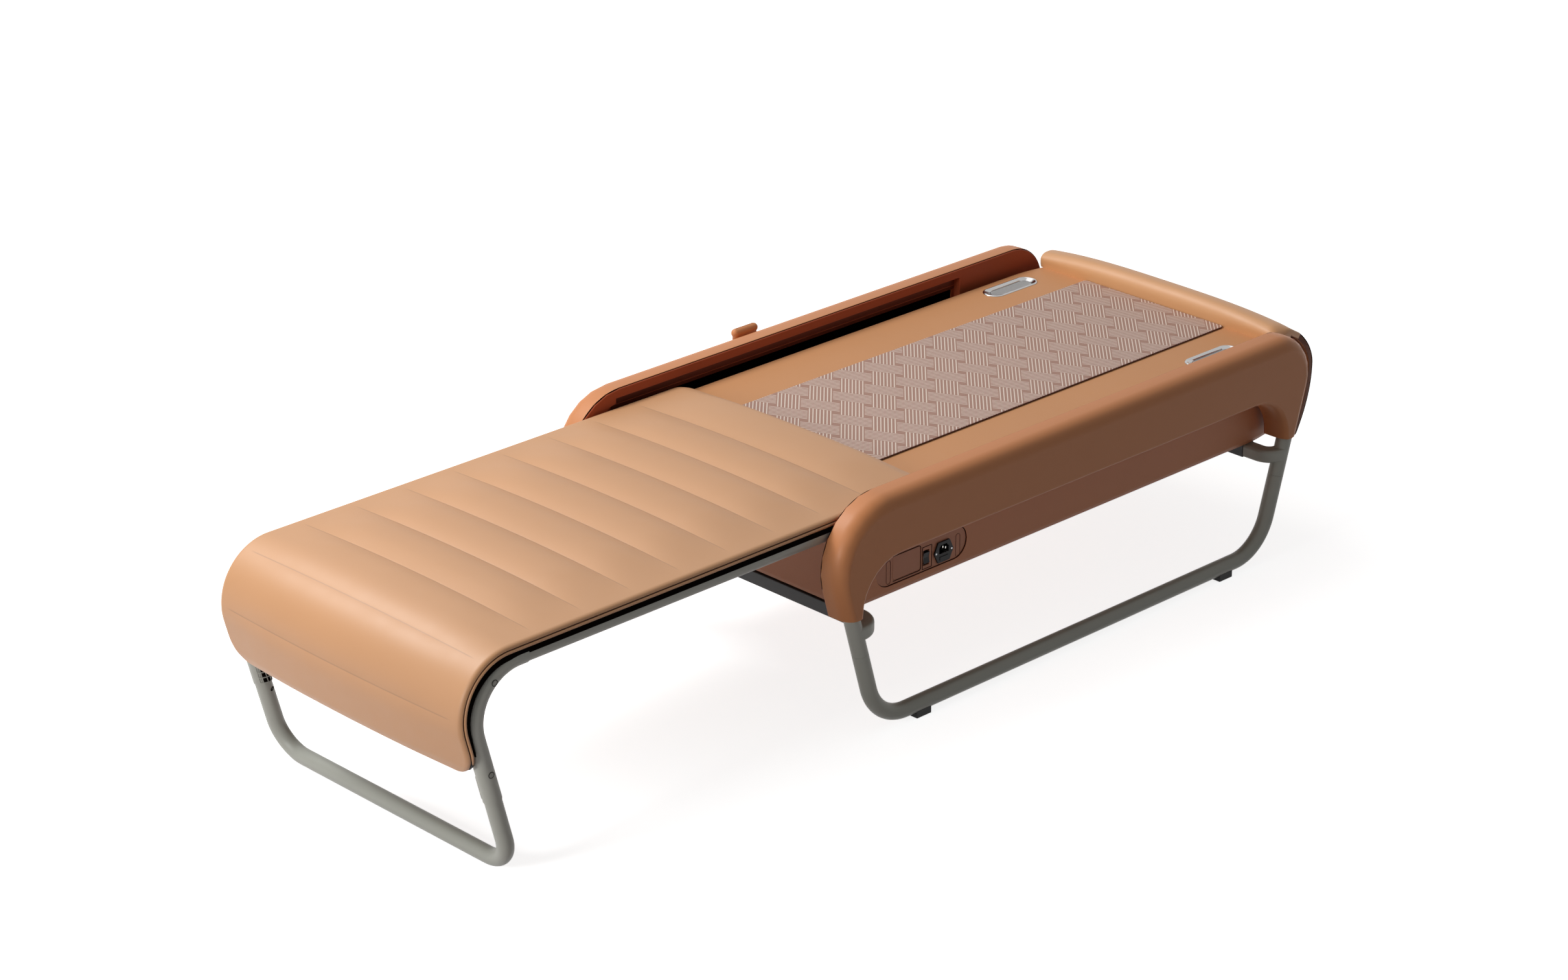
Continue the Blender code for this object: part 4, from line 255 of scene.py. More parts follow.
def metalLook(name, colour, roughness, stretch=None):
    finish = Finish(name, Metallic=1.0)
    place = finish.turned(0, stretch) if stretch else finish.place
    streak = finish.noise(metal["streak" if stretch else "cloud"], 3, place)
    finish.set("Base Color", finish.tones(colour, metal["tones"], streak))
    finish.rough(roughness, metal["spread"], streak)
    return finish.material


def matLook(name):
    # plain basket weave of line bundles, each passing over and under the next
    finish = Finish(name, Sheen_Weight=0.1)
    tile = cloth["cell"]
    place = finish.turned(cloth["turn"], (1 / tile, cloth["tilt"] / tile, 1))
    across, along = finish.axis("X", place), finish.axis("Y", place)
    odd = (across.math("FLOOR") + along.math("FLOOR")).math("MODULO", 2).math("ABSOLUTE")
    partAcross, partAlong = across.math("FRACT"), along.math("FRACT")
    over = odd * partAcross + (1 - odd) * partAlong
    under = odd * partAlong + (1 - odd) * partAcross

    def offMiddle(part):
        return (part - 0.5).math("ABSOLUTE")

    def bundle(part):
        strands = (part * cloth["lines"]).math("FRACT")
        return (offMiddle(strands) < cloth["width"]) * (offMiddle(part) < cloth["band"])

    line = bundle(over) + bundle(under) * (offMiddle(over) > cloth["band"] + cloth["gap"])
    thread = finish.noise(cloth["thread"], 2)
    tone = (thread + finish.noise(cloth["cloud"], 3)) * 0.5
    ground = finish.tones(cloth["base"], cloth["tones"], tone)
    finish.set("Base Color", finish.mix(line, ground, (*cloth["line"], 1)))
    finish.set("Roughness", cloth["roughness"] - line * cloth["lineGloss"])
    lines, threads = cloth["relief"]
    finish.bump(line * lines + thread * threads, *cloth["bump"])
    return finish.material


tanLeather = leatherLook("tan leather", gloss=0.72, seam="seam", colour=(0.535, 0.268, 0.116))
deckLeather = leatherLook("deck leather", gloss=0.2, sheen=0.03, pebble=560)
padLeather = leatherLook("head pad leather", gloss=0.85, sheen=0.22, colour=(0.62, 0.30, 0.115))
tanShell = plasticLook("tan moulded shell", (0.585, 0.232, 0.091), 1400, 2, 0.46, gloss=0.27, coat=0.02)
boxLook = plasticLook("tub shell", (0.56, 0.215, 0.095), cloud=2, gloss=0.4)
coverLook = plasticLook("dark red-brown cover", (0.38, 0.074, 0.026), 1200, 3, gloss=0.25)
# the cover's colour darkened: painted shade for the strip under the slot's rim
coverInPaintedShade = plasticLook("cover in painted shade", (0.16, 0.028, 0.010), 1200, 3, gloss=0.25)
# the brown inset's colour darkened: the end cap's own brown with painted shade
capInPaintedShade = plasticLook("pad end cap in painted shade", (0.20, 0.075, 0.042), cloud=6, roughness=0.48, gloss=0.08)
insetLook = plasticLook("brown inset", (0.47, 0.19, 0.10), cloud=6, roughness=0.48, gloss=0.35)
insetShade = plasticLook("plate line", (0.16, 0.07, 0.045), cloud=6, roughness=0.6, gloss=0.1)
greyPaint = paintLook("warm grey powder coat", (0.44, 0.45, 0.395), 0.42)
beamPaint = paintLook("dark beam paint", (0.04, 0.04, 0.041), 0.55)
blackPlastic = plasticLook("black plastic", (0.018, 0.018, 0.019), 1500, roughness=0.42, gloss=0.15)
# near-black: the own colour of piping and dark joints, and painted shade in openings, recesses and gaps
darkTrimAndPaintedShade = plasticLook("dark trim and painted shade", (0.006, 0.004, 0.003), 900, roughness=0.9, gloss=0)
blackRubber = plasticLook("black rubber", (0.014, 0.014, 0.014), 900, roughness=0.8)
chrome = metalLook("chrome plate", (0.46, 0.455, 0.45), 0.15)
meshSteel = plasticLook("speaker mesh", (0.36, 0.355, 0.35), 900, 30, roughness=0.4, gloss=0.9)
pinMetal = metalLook("contact metal", (0.75, 0.72, 0.66), 0.28)
steel = metalLook("bare steel", (0.46, 0.46, 0.47), 0.33, stretch=(1, 14, 14))
stone = plasticLook("green stone", (0.20, 0.33, 0.24), 40, 30, roughness=0.22, coat=0.5)
circuit = plasticLook("circuit board", (0.02, 0.16, 0.07), 300, 60, roughness=0.4, coat=0.3)
matPattern = matLook("woven line cloth")
matEdge = plasticLook("mat edge", (0.10, 0.035, 0.03), roughness=0.6)
print("materials made")

# modelling helpers
weld = {"copy": 0.000004, "ring": 0.000005, "tube": 0.00001, "flat": 0.6}
roundness = 0.98
sharp = {"turned": 30, "copy": 35, "plain": 40, "round": 50, "soft": 60}


def linked(name, data):
    # a new object of the scene with this data
    made = bpy.data.objects.new(name, data)
    bpy.context.scene.collection.objects.link(made)
    return made


def meshObject(bm, name):
    mesh = bpy.data.meshes.new(name)
    bm.to_mesh(mesh)
    bm.free()
    return linked(name, mesh)


def keep(bm, name, look, body, slot, angle=sharp["round"]):
    # the finished piece of this bmesh, riding on its body
    piece = meshObject(bm, name)
    mesh = piece.data
    mesh.materials.append(look)
    mesh.shade_smooth()
    mesh.set_sharp_from_angle(angle=math.radians(angle))
    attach(piece, body)
    return piece


def standIn(node, bm, name, look, angle=sharp["round"]):
    # a finished piece in the place of a CAD node
    piece = keep(bm, name, look, bodyOf[node], slotOf[node], angle)
    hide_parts(node)
    return piece


def soften(piece, width, segments=2, angle=sharp["copy"]):
    edge = piece.modifiers.new("soft edges", "BEVEL")
    edge.limit_method = "ANGLE"
    edge.angle_limit = math.radians(angle)
    edge.width = width
    edge.segments = segments
    weight = piece.modifiers.new("even shading", "WEIGHTED_NORMAL")
    weight.keep_sharp = True
    return piece


def dress(node, look, edge, segments=2, name=None):
    # a welded copy of a CAD piece, with its edges rounded
    bm = bmesh.new()
    bm.from_mesh(nodes[node].data)
    bmesh.ops.remove_doubles(bm, verts=bm.verts, dist=weld["copy"])
    bmesh.ops.dissolve_limit(bm, angle_limit=math.radians(weld["flat"]), verts=bm.verts, edges=bm.edges)
    piece = standIn(node, bm, name or node + "_skin", look, sharp["copy"])
    return soften(piece, edge, segments) if edge else piece


def ramp(value, start, end):
    return min(max((value - start) / (end - start), 0), 1)


def ease(value, start, end):
    t = ramp(value, start, end)
    return t * t * (3 - 2 * t)


def quarterRound(share):
    # height of a quarter circle, from 0 at its foot to 1 at its top
    t = 1 - min(share, 1)
    return math.sqrt(max(1 - t * t, 0))


def arcPoints(before, corner, after, radius, steps):
    toBefore = (before - corner).normalized()
    toAfter = (after - corner).normalized()
    half = toBefore.angle(toAfter) / 2
    reach = radius / math.tan(half)
    centre = corner + (toBefore + toAfter).normalized() * (radius / math.sin(half))
    start = corner + toBefore * reach - centre
    end = corner + toAfter * reach - centre
    turn = math.pi - 2 * half
    points = []
    for step in range(steps + 1):
        share = step / steps
        mix = start * math.sin((1 - share) * turn) + end * math.sin(share * turn)
        points.append(centre + mix / math.sin(turn))
    return points


def bentPath(corners, steps=18):
    # open path through (place, radius), rounded at all but its ends
    spots = [Vector(corner[:-1]) for corner in corners]
    points = [spots[0]]
    for index in range(1, len(corners) - 1):
        points += arcPoints(*spots[index - 1 : index + 2], corners[index][-1], steps)
    return points + [spots[-1]]


def roundedOutline(corners, steps):
    # closed outline of (u, v, radius)
    spots = [Vector(corner[:2]) for corner in corners]
    points = []
    for index, spot in enumerate(spots):
        radius = corners[index][2]
        after = spots[(index + 1) % len(spots)]
        points += arcPoints(spots[index - 1], spot, after, radius, steps) if radius else [spot]
    return points


def roundedBox(lowU, highU, lowV, highV, radius, steps):
    corners = ((lowU, lowV), (highU, lowV), (highU, highV), (lowU, highV))
    return roundedOutline([(u, v, radius) for u, v in corners], steps)


def capsule(u, v, width, height, steps=8):
    # box with nearly half-round ends, about its middle
    radius = min(width, height) / 2 * roundness
    return roundedBox(u - width / 2, u + width / 2, v - height / 2, v + height / 2, radius, steps)


def circle(x, y, z, radius, count):
    turns = [step / count * 2 * math.pi for step in range(count)]
    return [Vector((x + radius * math.cos(turn), y, z + radius * math.sin(turn))) for turn in turns]


def lay(points, height):
    return [Vector((u, v, height)) + bedShift for u, v in points]


def ringMesh(rings, closed=False, seams=None):
    # a grid wrapped through the rings, then capped or closed on itself
    rings = [*rings, rings[0]] if closed else rings
    columns, rows = len(rings[0]), len(rings) - 1
    bm = bmesh.new()
    bmesh.ops.create_grid(bm, x_segments=columns, y_segments=rows, size=1)
    # the optional per-point values become the attribute of painted crease shade
    seamLayer = bm.verts.layers.float.new("seam") if seams else None
    for vertex in bm.verts:
        column = round((vertex.co.x + 1) / 2 * columns) % columns
        row = round((vertex.co.y + 1) / 2 * rows)
        vertex.co = rings[row][column]
        if seams:
            vertex[seamLayer] = seams[row][column]
    bmesh.ops.remove_doubles(bm, verts=bm.verts, dist=weld["ring"])
    bmesh.ops.holes_fill(bm, edges=[edge for edge in bm.edges if edge.is_boundary], sides=0)
    bmesh.ops.recalc_face_normals(bm, faces=bm.faces)
    return bm


def tube(points, radius, ring=12, caps=True):
    # a round bar or bead along a path, made a mesh with welded caps
    data = bpy.data.curves.new("tube line", "CURVE")
    data.dimensions = "3D"
    data.bevel_depth = radius
    data.bevel_resolution = ring
    data.use_fill_caps = caps
    spline = data.splines.new("POLY")
    spline.points.add(len(points) - 1)
    for spot, point in zip(spline.points, points):
        spot.co = (*(point + bedShift), 1)
    spline.use_cyclic_u = not caps
    guide = linked("tube line", data)
    bpy.context.view_layer.update()
    mesh = bpy.data.meshes.new_from_object(guide.evaluated_get(bpy.context.evaluated_depsgraph_get()))
    bpy.data.objects.remove(guide)
    bpy.data.curves.remove(data)
    bm = bmesh.new()
    bm.from_mesh(mesh)
    bpy.data.meshes.remove(mesh)
    bmesh.ops.remove_doubles(bm, verts=bm.verts, dist=weld["tube"])
    bmesh.ops.recalc_face_normals(bm, faces=bm.faces)
    return bm


# leg loops, posts and elbows
legs = {
    "tube": 0.015,
    "out": 0.355,
    "halfSpan": 0.519,
    "railHeight": 0.022,
    "bend": 0.095,
    "lean": 0.287,
    "joint": 0.167,
    "gap": 0.00015,
    "postTop": 0.300,
    "beam": {"foot": -0.523, "head": 0.542},
    "beamEnd": 0.3003,
    "elbowHeight": 0.0257,
    "elbowWidth": 0.030,
    "elbowRound": 0.006,
    "elbowLevel": 0.209,
    "elbowBend": {"foot": 0.040, "head": 0.026},
    "edge": 0.0008,
}


def postSpot(end, side, height):
    x = ends[end] * (legs["halfSpan"] + legs["lean"] * (height - legs["railHeight"]))
    return Vector((x, sides[side] * legs["out"], height))


def legPieces(side):
    low, high = legs["joint"] - legs["gap"], legs["joint"] + legs["gap"]
    rail, bend = legs["railHeight"], legs["bend"]
    corners = (("foot", low, 0), ("foot", rail, bend), ("head", rail, bend), ("head", low, 0))
    path = bentPath([(*postSpot(end, side, height), radius) for end, height, radius in corners])
    node = "leg_loop_" + side
    standIn(node, tube(path, legs["tube"]), node + "_tube", greyPaint)
    for end in ends:
        node = "leg_post_" + end + "_" + side
        path = [postSpot(end, side, high), postSpot(end, side, legs["postTop"])]
        standIn(node, tube(path, legs["tube"]), node + "_tube", greyPaint)
        elbow(end, side)


def elbow(end, side):
    # swept flat bracket from the cross beam round to the post
    out, beamX, level = sides[side], legs["beam"][end], legs["elbowLevel"]
    post = postSpot(end, side, level)
    bend = (beamX, out * legs["out"], level, legs["elbowBend"][end])
    spine = bentPath([(beamX, out * legs["beamEnd"], level, 0), bend, (*post, 0)], steps=10)
    halfWidth, halfHeight = legs["elbowWidth"] / 2, legs["elbowHeight"] / 2
    section = roundedBox(-halfWidth, halfWidth, -halfHeight, halfHeight, legs["elbowRound"], steps=6)
    rings = []
    for index, point in enumerate(spine):
        along = (spine[min(index + 1, len(spine) - 1)] - spine[max(index - 1, 0)]).normalized()
        across = Vector((along.y, -along.x, 0))
        rings.append([point + bedShift + across * u + Vector((0, 0, v)) for u, v in section])
    name = "elbow_" + end + "_" + side
    keep(ringMesh(rings), name, greyPaint, "bed", "warm_grey_paint", sharp["plain"])


for side in sides:
    legPieces(side)
    for end in ends:
        dress("foot_pad_" + end + "_" + side, blackRubber, legs["edge"])
for end in ends:
    dress("cross_beam_" + end, beamPaint, legs["edge"])
print("legs made")

# body shells
panel = {"inner": 0.3233, "ceiling": 0.38, "facing": 0.2}
rim = {
    "half": 0.6202,
    "low": 0.300,
    "top": 0.4466,
    "out": 0.3221,
    "footRadius": 0.1206,
    "headRadius": 0.0846,
    "radius": 0.0009,
}
ledge = {
    "foot": -0.511,
    "head": 0.393,
    "low": 0.4036,
    "high": 0.4222,
    "face": 0.3338,
    "back": 0.3358,
    "round": 0.0006,
    "bead": 0.4112,
    "beadRadius": 0.0008,
}
sideSkins = {  # look and edge radius
    "inner_cover_": (coverLook, 0.0005),
    "slide_rail_": (blackPlastic, 0),
    "slider_block_": (blackPlastic, 0.0006),
}
skins = {
    "main_box_shell": (boxLook, 0.0008),
    "head_pad_backing": (insetLook, 0.001),
    "power_plate": (insetLook, 0.0004),
    "service_cover": (insetLook, 0.0005),
    "rocker_switch": (blackPlastic, 0.0005),
    "power_inlet": (blackPlastic, 0.0003),
    "fuse_drawer": (blackPlastic, 0.0003),
    "aux_base_board": (blackPlastic, 0),
}


def panelSkin(side):
    # the moulded shell, with the hidden inside of its wall painted near-black: painted shade seen through
    # the slot
    piece = dress("side_panel_" + side, tanShell, 0.0007)
    piece.data.materials.append(darkTrimAndPaintedShade)
    for face in piece.data.polygons:
        inward = face.normal.y * sides[side] < -panel["facing"]
        ceiling = face.normal.z < -panel["facing"] and face.center.z > panel["ceiling"]
        if (face.center.y - bedShift.y) * sides[side] > panel["inner"] and (inward or ceiling):
            face.material_index = 1


def rimLine(side):
    # fine dark joint between the panel's rim and its inner cover
    out, half, low, top = sides[side] * rim["out"], rim["half"], rim["low"], rim["top"]
    lean = legs["lean"] * (top - low)
    corners = [
        (-half, out, low, 0),
        (-half - lean, out, top, rim["footRadius"]),
        (half + lean, out, top, rim["headRadius"]),
        (half, out, low, 0),
    ]
    line = tube(bentPath(corners, steps=20), rim["radius"], ring=3)
    keep(line, "rim_joint_" + side, darkTrimAndPaintedShade, "bed", "dark_cover")


def slotLedge(side):
    # strip along the top of the slot's back, with a fine bead on it; the strip has a darkened copy of the
    # cover's colour, painted shade under the rim
    face, back = sides[side] * ledge["face"], sides[side] * ledge["back"]
    span = (ledge["foot"], ledge["head"])
    outline = roundedBox(*sorted((face, back)), ledge["low"], ledge["high"], ledge["round"], steps=3)
    rings = [[Vector((x, v, z)) + bedShift for v, z in outline] for x in span]
    keep(ringMesh(rings), "slot_ledge_" + side, coverInPaintedShade, "bed", "dark_cover", sharp["plain"])
    line = tube([Vector((x, face, ledge["bead"])) for x in span], ledge["beadRadius"], ring=3)
    keep(line, "slot_bead_" + side, coverLook, "bed", "dark_cover")


for side in sides:
    panelSkin(side)
    rimLine(side)
    slotLedge(side)
    for node, (look, edge) in sideSkins.items():
        dress(node + side, look, edge)
shells = {node: dress(node, look, edge) for node, (look, edge) in skins.items()}

# power plate fittings
plate = {
    "face": -0.3101,
    "rings": ((-0.446, 0.2687, 0.0105, 0.044), (-0.2713, 0.2665, 0.0105, 0.044)),
    "service": (-0.4345, -0.3655, 0.2480, 0.2955, 0.005),
    "switchFrame": (-0.3612, -0.3378, 0.2470, 0.2890, 0.0012),
    "edge": (-0.3645, 0.275, 0.2286, 0.0636),
    "lines": {"ring": 0.0005, "service": 0.0007, "switch": 0.0006, "edge": 0.0009},
}
screws = {"x": -0.3095, "z": 0.2675, "apart": 0.0195, "depth": -0.3133, "radius": 0.0019, "flat": 0.35}
pins = {"x": -0.3095, "half": 0.0095, "low": 0.2640, "high": 0.2790, "front": -0.3125, "back": -0.3045}


def plateLine(name, outline, look, line, closed=True):
    # a thin line laid along the plate's face
    points = [Vector((u, plate["face"], v)) for u, v in outline]
    keep(tube(points, plate["lines"][line], ring=2, caps=not closed), name, look, "bed", "tan_shell")


def plateFittings():
    for index, ring in enumerate(plate["rings"]):
        plateLine("plate_ring_" + str(index), capsule(*ring), insetShade, "ring")
    low, high, bottom, top, radius = plate["service"]
    corners = [(low, top, 0), (high, top, radius), (high, bottom, radius), (low, bottom, 0)]
    plateLine("service_groove", roundedOutline(corners, steps=8), darkTrimAndPaintedShade, "service", False)
    plateLine("switch_frame", roundedBox(*plate["switchFrame"], steps=8), darkTrimAndPaintedShade, "switch")
    # dark line round the plate: painted shadow in the recess at its edge
    plateLine("plate_gap", capsule(*plate["edge"]), darkTrimAndPaintedShade, "edge")
    bm = bmesh.new()
    for across in (-screws["apart"], screws["apart"]):
        made = bmesh.ops.create_uvsphere(bm, u_segments=16, v_segments=8, radius=screws["radius"])
        bmesh.ops.scale(bm, vec=(1, screws["flat"], 1), verts=made["verts"])
        place = Vector((screws["x"] + across, screws["depth"], screws["z"]))
        bmesh.ops.translate(bm, vec=place + bedShift, verts=made["verts"])
    keep(bm, "inlet_screws", steel, "bed", "steel", sharp["soft"])


def inletPins():
    # the contact pins stand clear of the socket's walls
    inlet = shells["power_inlet"].data
    inlet.materials.append(pinMetal)
    for face in inlet.polygons:
        spot = face.center - bedShift
        inside = abs(spot.x - pins["x"]) < pins["half"] and pins["low"] < spot.z < pins["high"]
        if inside and pins["front"] < spot.y < pins["back"]:
            face.material_index = 1


plateFittings()
inletPins()
print("shells dressed")

# remote control holder
holder = {
    "x": -0.13,
    "length": 0.063,
    "in": 0.3733,
    "low": 0.337,
    "top": 0.4518,
    "roll": 0.0085,
    "half": 0.0062,
    "mouth": 0.0006,
    "floor": 0.005,
    "underside": ((0.004, 0.0), (0.001, 0.0015), (0.0, 0.004)),  # inset and height
    "steps": 14,
}


def remoteHolder():
    # slim pocket on the far panel with a thick rolled rim
    roll, half, mouth = holder["roll"], holder["half"], holder["mouth"]

    def ring(size, height):
        # one outline round the pocket, pulled in at both ends as its half depth shrinks
        middle = holder["in"] + roll
        return lay(capsule(holder["x"], middle, holder["length"] - 2 * (roll - size), 2 * size), height)

    rings = [ring(half - inset, holder["low"] + height) for inset, height in holder["underside"]]
    first = -math.acos(half / roll)
    for step in range(holder["steps"] + 1):
        turn = first + step / holder["steps"] * (math.acos(mouth / roll) - first)
        rings.append(ring(roll * math.cos(turn), holder["top"] - roll + roll * math.sin(turn)))
    rings.append(ring(mouth, holder["low"] + holder["floor"]))
    standIn("remote_holder", ringMesh(rings), "remote_pocket", tanShell)


remoteHolder()

# deck and top mat
deck = {"edge": 0.0007, "top": 0.405}
mat = {
    "foot": -0.495,
    "head": 0.6046,
    "half": 0.177,
    "radius": 0.007,
    "low": 0.4053,
    "thickness": 0.0034,
    "edge": 0.0014,
    "hem": 0.0045,
    "edgeSteps": 5,
    "facing": 0.6,
}


def topMat():
    middle, half = (mat["head"] + mat["foot"]) / 2, (mat["head"] - mat["foot"]) / 2
    base = roundedBox(mat["foot"], mat["head"], -mat["half"], mat["half"], mat["radius"], steps=14)

    def ring(inward, height):
        scaleU, scaleV = 1 - inward / half, 1 - inward / mat["half"]
        return lay([((u - middle) * scaleU + middle, v * scaleV) for u, v in base], height)

    low, high, edge = mat["low"], mat["low"] + mat["thickness"], mat["edge"]
    rings = [ring(edge, low), ring(0, low + edge)]
    for step in range(1, mat["edgeSteps"] + 1):
        angle = step / mat["edgeSteps"] * math.pi / 2
        rings.append(ring(edge * (1 - math.cos(angle)), high - edge + edge * math.sin(angle)))
    rings.append(ring(mat["hem"], high))
    piece = standIn("top_mat", ringMesh(rings), "woven_mat", matPattern)
    # the mat's sides are dark red-brown: partly the edge's own colour, partly painted shade in the gap
    # along the deck
    piece.data.materials.append(matEdge)
    for face in piece.data.polygons:
        face.material_index = 1 if face.normal.z < mat["facing"] else 0


deckCover = dress("top_deck", deckLeather, deck["edge"], 3, "deck_cover")
topMat()
print("deck and top mat made")

# speakers
speaker = {
    "x": 0.478,
    "y": 0.259,
    "length": 0.126,
    "width": 0.048,
    "rim": 0.009,
    "reach": 0.0048,
    "shift": 0.7,
    "proud": 0.002,
    # shares of its rise, of its inset and of its reach
    "flange": ((0.6, 0.35, 1), (1, 1.1, 1), (1, 1.9, 1), (0.4, 2.4, 0.8)),
    "depth": 0.016,
    "drop": 0.003,
    "edge": 0.0003,
    "plate": 0.0008,
    "pitch": 0.0021,
    "hole": 0.00068,
    "margin": 0.35,
    "gap": 0.0003,
}
squareRing = [(1, 0), (1, 1), (0, 1), (-1, 1), (-1, 0), (-1, -1), (0, -1), (1, -1)]


def stadium(side, grow, reach):
    # outline of the speaker, longer by its flange's reach, mostly toward the foot
    length, width = speaker["length"] + 2 * (grow + reach), speaker["width"] + 2 * grow
    x = speaker["x"] - reach * speaker["shift"]
    return capsule(x, sides[side] * speaker["y"], length, width, steps=14)


def speakerPieces(side):
    top, proud, reach, gap = deck["top"], speaker["proud"], speaker["reach"], speaker["gap"]
    low, inward = top - speaker["depth"], -proud - gap
    levels = [(low, inward, 0), (top + gap, inward, 0), (top + gap, 0, reach)]
    for rise, inset, longer in speaker["flange"]:
        levels.append((top + proud * rise, -proud * inset, reach * longer))
    levels += [(top - speaker["drop"], -speaker["rim"], 0), (low, -speaker["rim"], 0)]
    rings = [lay(stadium(side, grow, longer), height) for height, grow, longer in levels]
    bm = ringMesh(rings, closed=True)
    piece = standIn("speaker_bezel_" + side, bm, "speaker_rim_" + side, chrome, sharp["soft"])
    soften(piece, speaker["edge"], angle=sharp["round"])
    perforatedPlate(side)


def perforatedPlate(side):
    # plate of small square cells, each with an eight-sided hole
    halfLength = speaker["length"] / 2 - speaker["rim"] - speaker["gap"]
    halfWidth = speaker["width"] / 2 - speaker["rim"] - speaker["gap"]
    pitch, hole, level = speaker["pitch"], speaker["hole"], deck["top"] - speaker["drop"]
    columns, rows = int(halfLength / pitch), int(halfWidth / pitch)
    turns = [index * math.pi / 4 for index in range(8)]
    bm = bmesh.new()
    for column in range(-columns, columns + 1):
        for row in range(-rows, rows + 1):
            u, v = column * pitch, row * pitch
            beyond = max(abs(u) - (halfLength - halfWidth), 0)
            if math.hypot(beyond, v) > halfWidth - pitch * speaker["margin"]:
                continue
            middle = Vector((speaker["x"] + u, sides[side] * speaker["y"] + v, level)) + bedShift
            outer = [middle + Vector((a, b, 0)) * pitch / 2 for a, b in squareRing]
            inner = [middle + Vector((math.cos(turn), math.sin(turn), 0)) * hole for turn in turns]
            loops = []
            for ring in (outer, inner):
                spots = [bm.verts.new(point) for point in ring]
                loops += [bm.edges.new((spots[index - 1], spots[index])) for index in range(8)]
            bmesh.ops.bridge_loops(bm, edges=loops)
    bmesh.ops.remove_doubles(bm, verts=bm.verts, dist=weld["tube"])
    bmesh.ops.recalc_face_normals(bm, faces=bm.faces)
    if sum(face.normal.z for face in bm.faces) < 0:
        bmesh.ops.reverse_faces(bm, faces=bm.faces)
    piece = standIn("speaker_grille_" + side, bm, "speaker_mesh_" + side, meshSteel, sharp["plain"])
    wall = piece.modifiers.new("sheet", "SOLIDIFY")
    wall.thickness = speaker["plate"]
    wall.offset = -1


for side in sides:
    speakerPieces(side)
print("speakers made")

# leg mat
pad = {
    "headEdge": -0.349,
    "height": 0.4045,
    "bar": -1.3065,
    "barHeight": 0.015,
    "lean": 0.264,
    "stand": 0.0207,
    "bend": 0.0938,
    "bendSteps": 90,
    "end": 0.209,
    "half": 0.314,
    "under": 0.0045,
    "edge": 0.0118,
    "edgeLow": 0.18,
    "edgeSteps": 7,
    "crown": 0.0090,
    "roll": 0.0085,
    "corner": 0.031,
    "footCorner": 0.050,
    "endLow": 0.4,
    "endRise": 1.4,
    "firstSeam": 0.134,
    "pitch": 0.1091,
    "lastPitch": 0.0955,
    "pastHead": 0.012,
    "pastFoot": 0.02,
    "calm": (0.86, 0.97),  # where the bend begins to be filled less than the flat part
    "calmLoss": 0.6,
    "puff": 0.0086,
    "dome": 2.3,
    "crease": 0.0003,
    "creaseWidth": 0.0012,
    "fade": (0.50, 1.0),
    # width, and fade across the mat, of the painted shade in the seams' creases
    "creaseShadeWidth": 0.0008,
    "creaseShadeFade": (0.87, 0.935),
    "steps": 30,
    "crowding": 0.1,
    "headSteps": (0.02, 0.08, 0.2, 0.4),
    "footSteps": (0.01, 0.04, 0.1, 0.2, 0.4),
    "columns": 46,
    "underSteps": (-0.991, -0.97, -0.5, 0.0, 0.5, 0.97, 0.991),
}
bead = {"level": 0.0013, "radius": 0.0026, "start": 0.012, "steps": 120, "bend": 0.048, "bendSteps": 14}
lip = {
    "thick": 0.0040,
    "low": -0.0122,
    "high": -0.0028,
    "round": 0.0016,
    "start": 0.012,
    "end": 0.040,
    "taper": 0.14,
    "tip": 0.2,
    "steps": 110,
}


def legX(height):
    # how far out the leaning leg is at this height
    return pad["bar"] - pad["lean"] * (height - pad["barHeight"])


def matPath():
    # the mat's line seen from the side: flat, then bent down along the leg
    top, end, stand = pad["height"], pad["end"], pad["stand"]
    bend = (legX(top) - stand, top, pad["bend"])
    return bentPath([(pad["headEdge"], top, 0), bend, (legX(end) - stand, end, 0)], pad["bendSteps"])


def lengthsOf(points):
    lengths = [0.0]
    for start, end in zip(points, points[1:]):
        lengths.append(lengths[-1] + (end - start).length)
    return lengths


def onMat(distance):
    # point and outward normal on the mat's line at this distance from the head
    index = 0
    while index < len(matLengths) - 2 and matLengths[index + 1] < distance:
        index += 1
    start, end = matLine[index], matLine[index + 1]
    share = (distance - matLengths[index]) / (matLengths[index + 1] - matLengths[index])
    along = (end - start).normalized()
    return start.lerp(end, share), Vector((along.y, -along.x))


def puffAt(distance, marks):
    # height of the filling between two seams, with a crease at each
    for start, end in zip(marks, marks[1:]):
        if start <= distance <= end:
            dome = 1 - abs(2 * (distance - start) / (end - start) - 1) ** pad["dome"]
            nearest = min(distance - start, end - distance)
            return pad["puff"] * dome - pad["crease"] * math.exp(-((nearest / pad["creaseWidth"]) ** 2))
    return 0


def padSection():
    # (share across, height of the rolled edge, whether the crown lifts it), all the way round
    half, roll, low, steps = pad["half"], pad["roll"], pad["edgeLow"], pad["edgeSteps"]
    rolled = []
    for step in range(steps + 1):
        turn = step / steps * math.pi / 2
        share = (half - roll + roll * math.cos(turn)) / half
        rolled.append((share, low + (1 - low) * math.sin(turn), True))
    flat, columns = (half - roll) / half, pad["columns"]
    top = [(flat * math.cos(math.pi * step / columns), 1.0, True) for step in range(1, columns)]
    left = [(-share, part, crowned) for share, part, crowned in reversed(rolled)]
    under = [(share, 0.0, False) for share in pad["underSteps"]]
    return rolled + top + left + under


